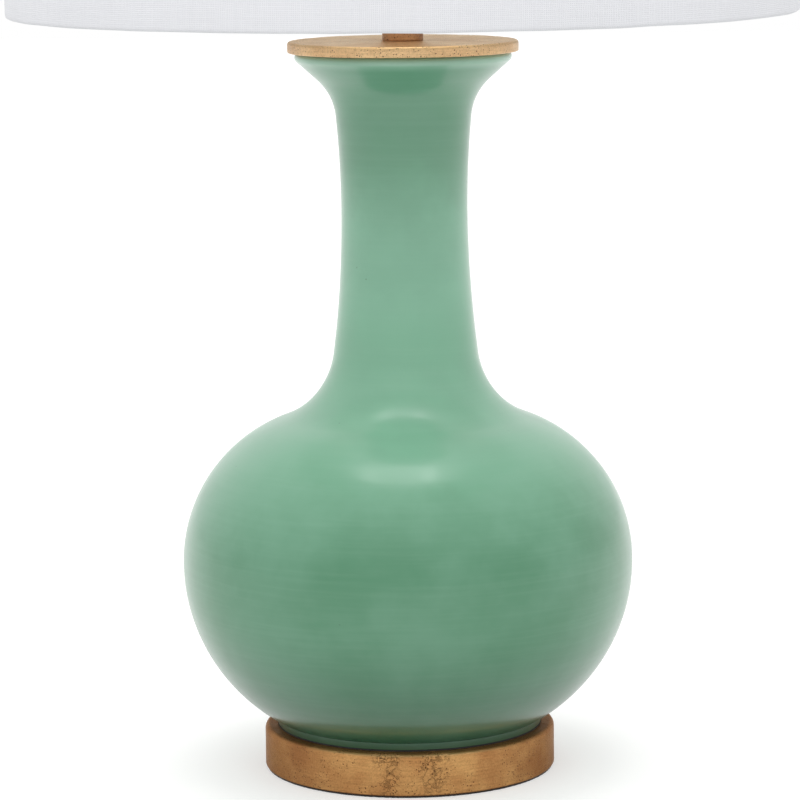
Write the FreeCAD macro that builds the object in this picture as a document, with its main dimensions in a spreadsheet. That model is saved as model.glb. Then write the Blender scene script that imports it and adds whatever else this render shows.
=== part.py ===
import FreeCAD, Part
import math
import os
import Sketcher

# Table lamp: a glazed bottle vase on a turned gilded plinth, with a gilded cap and neck,
# a turn-knob socket, a harp, a linen drum shade and a finial.
# Millimetres, +Z up, origin at the middle of the underside. The harp lies in the XZ plane,
# the switch knob points to the front (-Y) and the cord inlet to the back (+Y).

Vector = FreeCAD.Vector
document = FreeCAD.newDocument("BottleVaseLamp")

# ---------------------------------------------------------------------------------------
# Driving dimensions, in millimetres and degrees
# ---------------------------------------------------------------------------------------

SIZES = {
    # clearances
    "gap": 0.3,                      # between pieces that must not rub
    "shaft_gap": 0.08,               # radial running clearance of a turning shaft
    "pipe_play": 0.3,                # radial play of the lamp pipe in the pieces it threads
    # felt and plinth
    "felt_thick": 1.0,
    "felt_inset": 1.0,
    "plinth_radius": 85.7,
    "plinth_height": 24.6,
    "plinth_top_round": 3.0,
    "plinth_foot_round": 1.0,
    "recess_radius": 55.0,
    "recess_depth": 13.0,
    # cord inlet
    "inlet_height": 7.5,             # above the plinth's underside
    "inlet_bore": 3.6,
    "inlet_wall": 0.9,
    "inlet_length": 14.0,
    "inlet_flange_radius": 5.8,
    "inlet_flange_thick": 1.5,
    # lamp pipe with its washer and nut
    "pipe_radius": 5.0,
    "pipe_bore": 3.6,
    "pipe_tail": 2.0,                # stands out below the nut
    "pipe_head": 2.0,                # stands out above the socket's hub
    "washer_radius": 16.0,
    "washer_thick": 1.6,
    "nut_flats": 16.0,
    "nut_thick": 5.0,
    # gasket under the vase
    "gasket_thick": 0.8,
    "gasket_inset": 0.8,
    # vase: heights are above its foot, "round" is the radius of an arc of its outline
    "vase_height": 395.6,
    "vase_wall": 6.0,
    "foot_radius": 79.0,
    "foot_width": 10.0,
    "foot_recess": 8.0,
    "floor_thick": 8.0,
    "floor_hole": 7.0,
    "belly_radius": 132.4,
    "belly_height": 97.0,
    "lower_belly_round": 108.0,
    "upper_belly_round": 89.6,
    "shoulder_round": 47.8,
    "waist_radius": 36.85,
    "waist_height": 303.5,
    "lower_neck_round": 645.0,
    "upper_neck_round": 590.0,
    "flare_round": 32.25,
    "flare_angle": 48.0,             # slope of the mouth from the vertical
    "lip_radius": 62.0,
    "lip_drop": 5.0,                 # of the slope's end below the top of the mouth
    # cap on the vase's mouth and the neck above it
    "cap_radius": 67.0,
    "cap_thick": 6.4,
    "cap_top_round": 1.8,
    "cap_foot_round": 0.8,
    "spigot_depth": 5.0,
    "spigot_play": 0.8,
    "neck_radius": 11.9,
    "neck_height": 25.0,
    "neck_round": 0.6,
    # harp saddle
    "saddle_strip": 1.5,
    "saddle_width": 11.0,
    "saddle_rise": 31.6,             # from its underside to the ledges
    "prong_width": 5.5,
    "prong_height": 10.0,
    "leg_offset": 28.55,             # from the lamp's axis to the middle of a harp leg
    # harp
    "wire_radius": 1.5,
    "leg_length": 32.0,
    "swell_height": 73.0,
    "harp_half_width": 58.0,
    "harp_height": 221.7,            # from the legs' ends to the middle of the top wire
    "harp_corner": 50.0,
    "stud_foot_radius": 6.0,
    "stud_foot_below": 2.4,          # below the middle of the wire
    "stud_foot_above": 2.9,
    "stud_radius": 3.1,
    "stud_length": 14.1,
    # ferrules that lock the harp on the saddle
    "ferrule_bore": 3.95,
    "ferrule_wall": 0.8,
    "ferrule_height": 14.0,
    "ferrule_round": 0.3,
    # socket
    "hub_radius": 8.0,
    "hub_height": 8.0,
    "hub_skirt": 5.0,
    "socket_cap_radius": 17.9,
    "socket_cap_height": 22.0,
    "brass_thick": 0.8,
    "shell_thick": 0.6,
    "shell_height": 46.5,
    "sleeve_thick": 0.8,
    "sleeve_start": 12.0,            # above the socket's seat
    "block_height": 27.7,
    "switch_height": 28.0,           # above the socket's seat
    "switch_hole": 2.4,
    "lamp_thread_radius": 13.4,      # inside of the screw shell that takes the bulb
    "screw_shell_thick": 0.5,
    "screw_shell_height": 22.0,
    "tongue_hole": 6.5,
    "tongue_radius": 3.5,
    "tongue_thick": 1.9,
    "set_screw_radius": 1.5,
    "set_screw_length": 4.4,
    "set_screw_height": 3.2,
    "screw_slot": 0.8,
    "terminal_height": 20.0,         # above the socket's seat
    "terminal_flat": 11.3,
    "terminal_head_radius": 3.0,
    "terminal_head_thick": 1.8,
    "terminal_shank": 1.4,
    "terminal_depth": 4.0,
    # switch key
    "key_radius": 1.6,
    "key_start": 3.0,
    "key_length": 27.0,
    "knob_start": 19.5,
    "knob_length": 13.5,
    "knob_radius": 5.2,
    "knob_round": 1.2,
    "flute_radius": 0.9,
    "flute_start": 2.4,              # from the knob's inner face
    "flute_offset": 0.3,             # of a flute's middle outside the knob's radius
    "flutes": 12,
    # bulb
    "tip_radius": 4.5,
    "tip_thick": 1.8,
    "tip_bevel": 0.9,
    "insulator_foot": 5.2,
    "insulator_top": 11.4,
    "insulator_height": 4.4,
    "bulb_thread_radius": 13.0,
    "bulb_shell_height": 20.4,
    "bulb_shell_thick": 0.4,
    "glass_tuck": 5.0,               # of the glass inside the bulb's screw shell
    "bulb_neck_radius": 12.3,
    "bulb_radius": 30.0,
    "bulb_length": 108.0,
    "bulb_hollow": 60.0,             # radius of the curve from the neck to the ball
    "glass_thick": 0.8,
    "stem_flare": 8.0,
    "stem_cone": 8.0,                # height at which the flare has drawn in to the rod
    "stem_radius": 2.2,
    "stem_height": 46.0,
    "filament_radius": 0.9,
    "filament_circle": 8.0,
    "filament_length": 30.0,
    "filament_cap": 1.0,
    "filaments": 4,
    # shade
    "shade_radius": 228.6,
    "shade_height": 279.4,
    "linen_thick": 0.6,
    "liner_thick": 0.65,
    "glue_gap": 0.05,
    "rim_wire": 1.4,
    "hem": 4.0,
    "fitter_drop": 12.9,             # from the shade's top edge to the middle of its hub
    "fitter_radius": 11.0,
    "fitter_bore": 3.6,
    "fitter_thick": 1.4,
    "arm_start": 9.4,
    "arm_slope_run": 14.3,           # from the arm's bend out to the rim
    "arm_bend": 14.0,
    "arms": 3,
    "notch_width": 4.4,
    "notch_reach": 0.85,             # of the notch short of the ring's middle
    # finial
    "finial_bore": 3.4,
    "finial_foot_radius": 7.0,
    "finial_foot_height": 4.2,
    "finial_foot_edge": 1.4,
    "finial_waist": 4.6,
    "finial_collar": 6.4,
    "finial_neck": 3.0,
    "finial_ball": 10.5,
    "finial_bead": 3.0,
    "finial_bead_height": 3.0,
    "finial_bead_bevel": 1.5,
}

sheet = document.addObject("Spreadsheet::Sheet", "Sizes")
for row, (alias, number) in enumerate(SIZES.items(), start=1):
    sheet.set(f"A{row}", alias)
    sheet.set(f"B{row}", str(number))
    sheet.setAlias(f"B{row}", alias)
document.recompute()


class Size:
    """A length, kept both as a number and as the formula that binds it to the sheet."""

    def __init__(self, value, formula):
        self.value = value
        self.formula = formula

    def join(self, other, sign, value):
        return Size(value, f"({self.formula} {sign} {as_size(other).formula})")

    def __add__(self, other):
        return self.join(other, "+", self.value + as_size(other).value)

    def __sub__(self, other):
        return self.join(other, "-", self.value - as_size(other).value)

    def __mul__(self, other):
        return self.join(other, "*", self.value * as_size(other).value)

    def __truediv__(self, other):
        return self.join(other, "/", self.value / as_size(other).value)

    def __neg__(self):
        return Size(-self.value, f"(0 - {self.formula})")


def as_size(item):
    if isinstance(item, Size):
        return item
    return Size(float(item), repr(item))


def square_root(size):
    return Size(math.sqrt(size.value), f"sqrt({size.formula})")


def sine(angle):
    return Size(math.sin(math.radians(angle.value)), f"sin({angle.formula})")


def cosine(angle):
    return Size(math.cos(math.radians(angle.value)), f"cos({angle.formula})")


def length_of(x, z):
    return square_root(x * x + z * z)


class Values:
    """The sheet's sizes, each read by its name."""


s = Values()
for alias, number in SIZES.items():
    setattr(s, alias, Size(float(number), f"Sizes.{alias}"))

# Places and lengths that several pieces share, each worked out once from the sizes
layout = document.addObject("App::VarSet", "Layout")


def shared(name, size):
    layout.addProperty("App::PropertyFloat", name)
    layout.setExpression(name, size.formula)
    return Size(size.value, f"Layout.{name}")


# ---------------------------------------------------------------------------------------
# Sketches and features
# ---------------------------------------------------------------------------------------

RIGHT, UP, LEFT = (1, 0), (0, 1), (-1, 0)


class Bend:
    """An arc between two points of an outline; turn is 1 to the left and -1 to the right."""

    def __init__(self, radius, turn):
        self.radius = radius
        self.turn = turn


def moved(start, direction, distance):
    """The coordinate a distance away, where direction is -1, 0 or 1."""
    if direction == 0:
        return start
    return as_size(start) + distance if direction > 0 else as_size(start) - distance


def rounded(x, z, radius, before, after):
    """A square corner at (x, z) rounded off between two directions of travel."""
    turn = before[0] * after[1] - before[1] * after[0]
    start = (moved(x, -before[0], radius), moved(z, -before[1], radius))
    end = (moved(x, after[0], radius), moved(z, after[1], radius))
    return [start, Bend(radius, turn), end]


def arc_between(start, end, radius, turn):
    """The short arc from start to end, with its centre on the turn's side."""
    chord = end - start
    half = chord.Length / 2
    height = math.sqrt(max(radius * radius - half * half, 0))
    side = Vector(-chord.y, chord.x, 0) / chord.Length
    centre = (start + end) / 2 + side * (turn * height)
    first, last = (start, end) if turn > 0 else (end, start)
    first_angle = math.atan2(first.y - centre.y, first.x - centre.x)
    last_angle = math.atan2(last.y - centre.y, last.x - centre.x)
    circle = Part.Circle(centre, Vector(0, 0, 1), radius)
    return Part.ArcOfCircle(circle, first_angle, last_angle)


def place_point(sketch, edge, end, x, z):
    """Fix one end of an edge at (x, z) from the sketch's origin."""
    for kind, axis, size in (("DistanceX", -2, as_size(x)), ("DistanceY", -1, as_size(z))):
        if abs(size.value) < 1e-9:
            sketch.addConstraint(Sketcher.Constraint("PointOnObject", edge, end, axis))
        elif size.value > 0:
            index = sketch.addConstraint(Sketcher.Constraint(kind, -1, 1, edge, end, size.value))
            sketch.setExpression(f"Constraints[{index}]", size.formula)
        else:
            index = sketch.addConstraint(Sketcher.Constraint(kind, edge, end, -1, 1, -size.value))
            sketch.setExpression(f"Constraints[{index}]", f"0 - {size.formula}")


def draw(sketch, path, closed=True):
    """Draw lines and arcs through the points of a path, each point fixed by its formulas."""
    points = []
    bends = {}
    for item in path:
        if isinstance(item, Bend):
            bends[len(points) - 1] = item
        else:
            points.append(item)
    corners = [Vector(as_size(x).value, as_size(z).value, 0) for x, z in points]
    count = len(points)
    previous = None
    first_end = None
    for index in range(count if closed else count - 1):
        start, end = corners[index], corners[(index + 1) % count]
        bend = bends.get(index)
        if bend is None:
            edge = sketch.addGeometry(Part.LineSegment(start, end))
            ends = (1, 2)
        else:
            edge = sketch.addGeometry(arc_between(start, end, bend.radius.value, bend.turn))
            ends = (1, 2) if bend.turn > 0 else (2, 1)
            limit = sketch.addConstraint(Sketcher.Constraint("Radius", edge, bend.radius.value))
            sketch.setExpression(f"Constraints[{limit}]", bend.radius.formula)
        place_point(sketch, edge, ends[0], *points[index])
        if previous is not None:
            sketch.addConstraint(Sketcher.Constraint("Coincident", *previous, edge, ends[0]))
        else:
            first_end = (edge, ends[0])
        previous = (edge, ends[1])
    if closed:
        sketch.addConstraint(Sketcher.Constraint("Coincident", *previous, *first_end))
    else:
        place_point(sketch, *previous, *points[-1])


def draw_circle(sketch, x, z, radius):
    """Draw a circle about (x, z)."""
    middle = Vector(as_size(x).value, as_size(z).value, 0)
    edge = sketch.addGeometry(Part.Circle(middle, Vector(0, 0, 1), radius.value))
    limit = sketch.addConstraint(Sketcher.Constraint("Radius", edge, radius.value))
    sketch.setExpression(f"Constraints[{limit}]", radius.formula)
    place_point(sketch, edge, 3, x, z)


def new_piece(label, height, turn=None):
    """A body whose own origin stands at a height on the lamp's axis."""
    body = document.addObject("PartDesign::Body", label)
    body.Label = label
    if turn is not None:
        body.Placement = FreeCAD.Placement(Vector(), turn)
    body.setExpression("Placement.Base.z", as_size(height).formula)
    return body


def new_sketch(body, name, plane="XZ_Plane", offset=None):
    """A sketch on one of the body's own origin planes, or at an offset along its normal."""
    sketch = body.newObject("Sketcher::SketchObject", name)
    support = [item for item in body.Origin.OriginFeatures if item.Role == plane]
    sketch.AttachmentSupport = (support[0], [""])
    sketch.MapMode = "FlatFace"
    if offset is not None:
        sketch.setExpression("AttachmentOffset.Base.z", offset.formula)
    return sketch


def origin_axis(body, role):
    return [item for item in body.Origin.OriginFeatures if item.Role == role][0]


def turned(body, name, path):
    """Turn a closed outline about the body's Z axis."""
    sketch = new_sketch(body, f"{name}_outline")
    draw(sketch, path)
    feature = body.newObject("PartDesign::Revolution", name)
    feature.Profile = sketch
    feature.ReferenceAxis = (sketch, ["V_Axis"])
    feature.Angle = 360
    return feature


def turned_wire(body, name, ring_radius, height, wire_radius):
    """Turn a round wire's section about the body's Z axis."""
    sketch = new_sketch(body, f"{name}_section")
    draw_circle(sketch, ring_radius, height, wire_radius)
    feature = body.newObject("PartDesign::Revolution", name)
    feature.Profile = sketch
    feature.ReferenceAxis = (sketch, ["V_Axis"])
    feature.Angle = 360
    return feature


def padded(body, name, sketch, length, both_ways=False):
    feature = body.newObject("PartDesign::Pad", name)
    feature.Profile = sketch
    feature.setExpression("Length", length.formula)
    if both_ways:
        feature.SideType = "Symmetric"
    return feature


def cut(body, name, sketch, length, along_normal=False):
    """Cut a sketch's outline out, against the sketch's normal or along it."""
    feature = body.newObject("PartDesign::Pocket", name)
    feature.Profile = sketch
    feature.setExpression("Length", length.formula)
    feature.Reversed = along_normal
    return feature


def cut_through(body, name, sketch, length):
    """Cut a sketch's outline out to both sides of its plane."""
    feature = body.newObject("PartDesign::Pocket", name)
    feature.Profile = sketch
    feature.setExpression("Length", length.formula)
    feature.SideType = "Symmetric"
    return feature


def repeated(body, feature, count):
    """Repeat a feature round the body's Z axis."""
    pattern = body.newObject("PartDesign::PolarPattern", f"{feature.Name}_round")
    pattern.Originals = [feature]
    pattern.Axis = (origin_axis(body, "Z_Axis"), [""])
    pattern.Angle = 360
    pattern.setExpression("Occurrences", count.formula)
    body.Tip = pattern
    return pattern


def rectangle(x_low, z_low, x_high, z_high):
    return [(x_low, z_low), (x_high, z_low), (x_high, z_high), (x_low, z_high)]


def tube(inner, outer, low, high):
    """The outline of a plain tube, or of a disc where inner is 0."""
    return rectangle(inner, low, outer, high)


# ---------------------------------------------------------------------------------------
# Heights of the seats, from the floor up
# ---------------------------------------------------------------------------------------

plinth_seat = shared("plinth_seat", s.felt_thick)
gasket_seat = shared("gasket_seat", plinth_seat + s.plinth_height)
vase_seat = shared("vase_seat", gasket_seat + s.gasket_thick)
cap_seat = shared("cap_seat", vase_seat + s.vase_height)
neck_seat = shared("neck_seat", cap_seat + s.cap_thick)
saddle_seat = shared("saddle_seat", neck_seat + s.neck_height)
socket_seat = shared("socket_seat", saddle_seat + s.saddle_strip)
harp_seat = shared("harp_seat", saddle_seat + s.saddle_rise + s.gap)
harp_top = shared("harp_top", harp_seat + s.harp_height)
fitter_seat = shared("fitter_seat", harp_top + s.stud_foot_above + s.gap)
shade_top = shared("shade_top", fitter_seat + s.fitter_thick / 2 + s.fitter_drop)
shade_seat = shared("shade_seat", shade_top - s.shade_height)
finial_seat = shared("finial_seat", fitter_seat + s.fitter_thick + s.gap)
block_seat = shared("block_seat", socket_seat + s.hub_height + s.pipe_head + s.gap)
tongue_seat = shared("tongue_seat", block_seat + s.block_height)
bulb_seat = shared("bulb_seat", tongue_seat + s.tongue_thick + s.gap)
pipe_hole = shared("pipe_hole", s.pipe_radius + s.pipe_play)


# ---------------------------------------------------------------------------------------
# Plinth, its felt and the cord inlet
# ---------------------------------------------------------------------------------------

def make_felt():
    body = new_piece("base_felt", 0)
    turned(body, "felt_disc", tube(0, s.plinth_radius - s.felt_inset, 0, s.felt_thick))


def make_plinth():
    body = new_piece("base_plinth", plinth_seat)
    turned(body, "plinth_turning", [
        (s.recess_radius, 0),
        *rounded(s.plinth_radius, 0, s.plinth_foot_round, RIGHT, UP),
        *rounded(s.plinth_radius, s.plinth_height, s.plinth_top_round, UP, LEFT),
        (pipe_hole, s.plinth_height),
        (pipe_hole, s.recess_depth),
        (s.recess_radius, s.recess_depth),
    ])
    hole = new_sketch(body, "inlet_hole_outline")
    draw_circle(hole, 0, s.inlet_height, inlet_sleeve + s.shaft_gap)
    cut(body, "inlet_hole", hole, s.plinth_radius)
    seat = new_sketch(body, "inlet_seat_outline", offset=-inlet_face)
    draw_circle(seat, 0, s.inlet_height, s.inlet_flange_radius + s.gap)
    cut(body, "inlet_seat", seat, s.plinth_radius)


inlet_sleeve = shared("inlet_sleeve", s.inlet_bore + s.inlet_wall)
inlet_face = shared("inlet_face", s.plinth_radius - s.inlet_flange_thick)


def make_cord_bushing():
    to_the_back = FreeCAD.Rotation(Vector(1, 0, 0), -90)
    body = new_piece("cord_bushing", plinth_seat + s.inlet_height, to_the_back)
    turned(body, "bushing_turning", [
        (s.inlet_bore, inlet_face - s.inlet_length),
        (inlet_sleeve, inlet_face - s.inlet_length),
        (inlet_sleeve, inlet_face),
        (s.inlet_flange_radius, inlet_face),
        (s.inlet_flange_radius, s.plinth_radius),
        (s.inlet_bore, s.plinth_radius),
    ])


# ---------------------------------------------------------------------------------------
# Lamp pipe, washer and nut
# ---------------------------------------------------------------------------------------

washer_seat = shared("washer_seat", plinth_seat + s.recess_depth - s.washer_thick)
nut_seat = shared("nut_seat", washer_seat - s.nut_thick)
pipe_seat = shared("pipe_seat", nut_seat - s.pipe_tail)
pipe_end = shared("pipe_end", socket_seat + s.hub_height + s.pipe_head)


def make_pipe():
    body = new_piece("lamp_pipe", pipe_seat)
    turned(body, "pipe_turning", tube(s.pipe_bore, s.pipe_radius, 0, pipe_end - pipe_seat))


def make_washer():
    body = new_piece("base_washer", washer_seat)
    turned(body, "washer_disc", tube(pipe_hole, s.washer_radius, 0, s.washer_thick))


def make_nut():
    body = new_piece("base_nut", nut_seat)
    half_flat = s.nut_flats / 2
    point = s.nut_flats / math.sqrt(3)
    sketch = new_sketch(body, "nut_outline", "XY_Plane")
    draw(sketch, [
        (point, 0), (point / 2, half_flat), (-point / 2, half_flat),
        (-point, 0), (-point / 2, -half_flat), (point / 2, -half_flat),
    ])
    draw_circle(sketch, 0, 0, s.pipe_radius + s.shaft_gap)
    padded(body, "nut_pad", sketch, s.nut_thick)


# ---------------------------------------------------------------------------------------
# Vase: arcs that run smoothly into each other, and the same arcs one wall further in
# ---------------------------------------------------------------------------------------

lower_belly_x = shared("lower_belly_x", s.belly_radius - s.lower_belly_round)
upper_belly_x = shared("upper_belly_x", s.belly_radius - s.upper_belly_round)
lower_neck_x = shared("lower_neck_x", s.waist_radius + s.lower_neck_round)
upper_neck_x = shared("upper_neck_x", s.waist_radius + s.upper_neck_round)

# The shoulder's centre lies where two circles cross: one about the belly's centre, which
# the shoulder touches from outside, and one about the neck's, which it touches from inside.
belly_reach = shared("belly_reach", s.upper_belly_round + s.shoulder_round)
neck_reach = shared("neck_reach", s.lower_neck_round - s.shoulder_round)
across = shared("across", lower_neck_x - upper_belly_x)
rise = shared("rise", s.waist_height - s.belly_height)
span = shared("span", length_of(across, rise))
foot_of_height = shared(
    "foot_of_height",
    (belly_reach * belly_reach - neck_reach * neck_reach + span * span) / (span * 2))
height_off = shared(
    "height_off", square_root(belly_reach * belly_reach - foot_of_height * foot_of_height))
shoulder_x = shared(
    "shoulder_x", upper_belly_x + (across * foot_of_height - rise * height_off) / span)
shoulder_z = shared(
    "shoulder_z", s.belly_height + (rise * foot_of_height + across * height_off) / span)

# The mouth's straight slope runs along (slope_x, slope_z) up to the lip. The flare's arc
# touches that slope and, from inside, the upper neck's arc.
lip_height = shared("lip_height", s.vase_height - s.lip_drop)
slope_x = shared("slope_x", sine(s.flare_angle))
slope_z = shared("slope_z", cosine(s.flare_angle))
flare_reach = shared("flare_reach", s.upper_neck_round - s.flare_round)
lip_across = shared("lip_across", s.lip_radius + s.flare_round * slope_z - upper_neck_x)
lip_rise = shared("lip_rise", lip_height - s.flare_round * slope_x - s.waist_height)
lip_along = shared("lip_along", lip_across * slope_x + lip_rise * slope_z)
lip_off = shared("lip_off", lip_across * slope_z - lip_rise * slope_x)
slope_run = shared(
    "slope_run", lip_along + square_root(flare_reach * flare_reach - lip_off * lip_off))
flare_x = shared("flare_x", upper_neck_x + lip_across - slope_run * slope_x)
flare_z = shared("flare_z", s.waist_height + lip_rise - slope_run * slope_z)
lip_round = shared("lip_round", s.lip_drop / (slope_x + 1))
mouth_radius = shared(
    "mouth_radius",
    s.lip_radius - s.vase_wall * slope_z
    + (s.lip_drop - s.vase_wall * slope_x) * slope_x / slope_z)


def on_circle(centre, towards, reach, radius):
    """The point at a radius from a centre, towards another point that lies a reach away."""
    x = centre[0] + (towards[0] - centre[0]) * radius / reach
    z = centre[1] + (towards[1] - centre[1]) * radius / reach
    return x, z


def vase_joints(inset):
    """Where the outline's arcs meet, from the belly up to the mouth's slope."""
    belly = (upper_belly_x, s.belly_height)
    shoulder = (shoulder_x, shoulder_z)
    lower_neck = (lower_neck_x, s.waist_height)
    upper_neck = (upper_neck_x, s.waist_height)
    flare = (flare_x, flare_z)
    flare_radius = s.flare_round + inset
    return [
        (s.belly_radius - inset, s.belly_height),
        on_circle(belly, shoulder, belly_reach, s.upper_belly_round - inset),
        on_circle(lower_neck, shoulder, neck_reach, s.lower_neck_round + inset),
        (s.waist_radius - inset, s.waist_height),
        on_circle(upper_neck, flare, flare_reach, s.upper_neck_round + inset),
        (flare_x - flare_radius * slope_z, flare_z + flare_radius * slope_x),
    ]


def make_vase():
    body = new_piece("vase_body", vase_seat)
    skin = as_size(0)
    outside = vase_joints(skin)
    inside = vase_joints(s.vase_wall)
    foot_across = s.foot_radius - lower_belly_x
    foot_joint = s.belly_height - square_root(
        s.lower_belly_round * s.lower_belly_round - foot_across * foot_across)
    foot_inside = s.foot_radius - s.foot_width
    floor_top = s.foot_recess + s.floor_thick
    inner_round = s.lower_belly_round - s.vase_wall
    floor_down = s.belly_height - floor_top
    floor_edge = lower_belly_x + square_root(inner_round * inner_round - floor_down * floor_down)
    turned(body, "vase_turning", [
        (foot_inside, 0),
        (s.foot_radius, 0),
        (s.foot_radius, foot_joint),
        Bend(s.lower_belly_round, 1),
        outside[0],
        Bend(s.upper_belly_round, 1),
        outside[1],
        Bend(s.shoulder_round, -1),
        outside[2],
        Bend(s.lower_neck_round, -1),
        outside[3],
        Bend(s.upper_neck_round, -1),
        outside[4],
        Bend(s.flare_round, -1),
        outside[5],
        (s.lip_radius, lip_height),
        Bend(lip_round, 1),
        (s.lip_radius - lip_round * slope_z, s.vase_height),
        (mouth_radius, s.vase_height),
        inside[5],
        Bend(s.flare_round + s.vase_wall, 1),
        inside[4],
        Bend(s.upper_neck_round + s.vase_wall, 1),
        inside[3],
        Bend(s.lower_neck_round + s.vase_wall, 1),
        inside[2],
        Bend(s.shoulder_round + s.vase_wall, 1),
        inside[1],
        Bend(s.upper_belly_round - s.vase_wall, -1),
        inside[0],
        Bend(inner_round, -1),
        (floor_edge, floor_top),
        (s.floor_hole, floor_top),
        (s.floor_hole, s.foot_recess),
        (foot_inside, s.foot_recess),
    ])


def make_gasket():
    body = new_piece("vase_gasket", gasket_seat)
    inner = s.foot_radius - s.foot_width
    turned(body, "gasket_ring", tube(inner, s.foot_radius - s.gasket_inset, 0, s.gasket_thick))


# ---------------------------------------------------------------------------------------
# Cap and neck
# ---------------------------------------------------------------------------------------

def make_cap():
    body = new_piece("vase_cap", cap_seat)
    spigot_radius = mouth_radius - s.spigot_depth * slope_x / slope_z - s.spigot_play
    turned(body, "cap_turning", [
        (pipe_hole, -s.spigot_depth),
        (spigot_radius, -s.spigot_depth),
        (spigot_radius, 0),
        *rounded(s.cap_radius, 0, s.cap_foot_round, RIGHT, UP),
        *rounded(s.cap_radius, s.cap_thick, s.cap_top_round, UP, LEFT),
        (pipe_hole, s.cap_thick),
    ])


def make_neck():
    body = new_piece("neck_collar", neck_seat)
    turned(body, "neck_turning", [
        (pipe_hole, 0),
        *rounded(s.neck_radius, 0, s.neck_round, RIGHT, UP),
        *rounded(s.neck_radius, s.neck_height, s.neck_round, UP, LEFT),
        (pipe_hole, s.neck_height),
    ])


# ---------------------------------------------------------------------------------------
# Harp saddle: a bent strip with a ledge and a prong at each side
# ---------------------------------------------------------------------------------------

arm_inner = shared("arm_inner", s.leg_offset - s.saddle_strip / 2)
arm_outer = shared("arm_outer", s.leg_offset + s.saddle_strip / 2)
prong_outer = shared("prong_outer", s.leg_offset - s.wire_radius - s.gap)
prong_inner = shared("prong_inner", prong_outer - s.saddle_strip)
ferrule_offset = shared("ferrule_offset", (prong_inner + s.leg_offset + s.wire_radius) / 2)
ledge_low = shared("ledge_low", s.saddle_rise - s.saddle_strip)
prong_top = shared("prong_top", s.saddle_rise + s.prong_height)


def mirrored(path):
    """The same points on the other side of the vertical axis, in the opposite order."""
    return [(-x, z) for x, z in reversed(path)]


def make_saddle():
    body = new_piece("harp_saddle", saddle_seat)
    right_side = [
        (arm_outer, 0),
        (arm_outer, s.saddle_rise),
        (prong_outer, s.saddle_rise),
        (prong_outer, prong_top),
        (prong_inner, prong_top),
        (prong_inner, ledge_low),
        (arm_inner, ledge_low),
        (arm_inner, s.saddle_strip),
    ]
    sketch = new_sketch(body, "saddle_side_view")
    draw(sketch, right_side + mirrored(right_side))
    padded(body, "saddle_strip", sketch, s.saddle_width, both_ways=True)
    shoulders = new_sketch(body, "prong_outline", "YZ_Plane")
    above = prong_top + s.prong_height
    draw(shoulders, rectangle(s.prong_width / 2, s.saddle_rise, s.saddle_width, above))
    draw(shoulders, rectangle(-s.saddle_width, s.saddle_rise, -s.prong_width / 2, above))
    cut_through(body, "prong_shoulders", shoulders, arm_outer * 3)
    hole = new_sketch(body, "saddle_hole_outline", "XY_Plane")
    draw_circle(hole, 0, 0, pipe_hole)
    cut(body, "saddle_hole", hole, s.saddle_strip * 2, along_normal=True)


# ---------------------------------------------------------------------------------------
# Harp: one bent wire, with the threaded stud at its top
# ---------------------------------------------------------------------------------------

def harp_side():
    """The right half of the harp's centre line, from the leg's end to the top."""
    swell = s.harp_half_width - s.leg_offset
    swell_round = (swell * swell + s.swell_height * s.swell_height) / (swell * 4)
    flat = s.harp_half_width - s.harp_corner
    swell_middle = (s.leg_offset + swell / 2, s.leg_length + s.swell_height / 2)
    return swell_round, [
        (s.leg_offset, 0),
        (s.leg_offset, s.leg_length),
        swell_middle,
        (s.harp_half_width, s.leg_length + s.swell_height),
        (s.harp_half_width, s.harp_height - s.harp_corner),
        (flat, s.harp_height),
    ]


def make_harp():
    body = new_piece("harp_wire", harp_seat)
    swell_round, side = harp_side()
    foot, knee, middle, hip, corner, top = side
    path = [
        foot, knee, Bend(swell_round, -1), middle, Bend(swell_round, 1), hip, corner,
        Bend(s.harp_corner, 1), top, (-top[0], top[1]), Bend(s.harp_corner, 1),
        (-corner[0], corner[1]), (-hip[0], hip[1]), Bend(swell_round, 1),
        (-middle[0], middle[1]), Bend(swell_round, -1), (-knee[0], knee[1]), (-foot[0], 0),
    ]
    spine = new_sketch(body, "harp_line")
    draw(spine, path, closed=False)
    section = new_sketch(body, "harp_section", "XY_Plane")
    draw_circle(section, s.leg_offset, 0, s.wire_radius)
    feature = body.newObject("PartDesign::AdditivePipe", "harp_bend")
    feature.Profile = section
    feature.Spine = (spine, [f"Edge{number}" for number in range(1, len(spine.Geometry) + 1)])


def make_stud():
    body = new_piece("harp_stud", harp_top)
    turned(body, "stud_turning", [
        (0, -s.stud_foot_below),
        (s.stud_foot_radius, -s.stud_foot_below),
        (s.stud_foot_radius, s.stud_foot_above),
        (s.stud_radius, s.stud_foot_above),
        (s.stud_radius, s.stud_foot_above + s.stud_length),
        (0, s.stud_foot_above + s.stud_length),
    ])
    hole = new_sketch(body, "wire_hole_outline", "YZ_Plane")
    draw_circle(hole, 0, 0, s.wire_radius + s.shaft_gap)
    cut_through(body, "wire_hole", hole, s.stud_foot_radius * 3)


def make_ferrules():
    for label, side in (("harp_ferrule_left", -1), ("harp_ferrule_right", 1)):
        body = new_piece(label, harp_seat)
        offset = ferrule_offset if side > 0 else -ferrule_offset
        body.setExpression("Placement.Base.x", offset.formula)
        outer = s.ferrule_bore + s.ferrule_wall
        turned(body, f"{label}_turning", [
            (s.ferrule_bore, 0),
            *rounded(outer, 0, s.ferrule_round, RIGHT, UP),
            *rounded(outer, s.ferrule_height, s.ferrule_round, UP, LEFT),
            (s.ferrule_bore, s.ferrule_height),
        ])


# ---------------------------------------------------------------------------------------
# Socket, from the cap on the pipe to the screw shell
# ---------------------------------------------------------------------------------------

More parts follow.
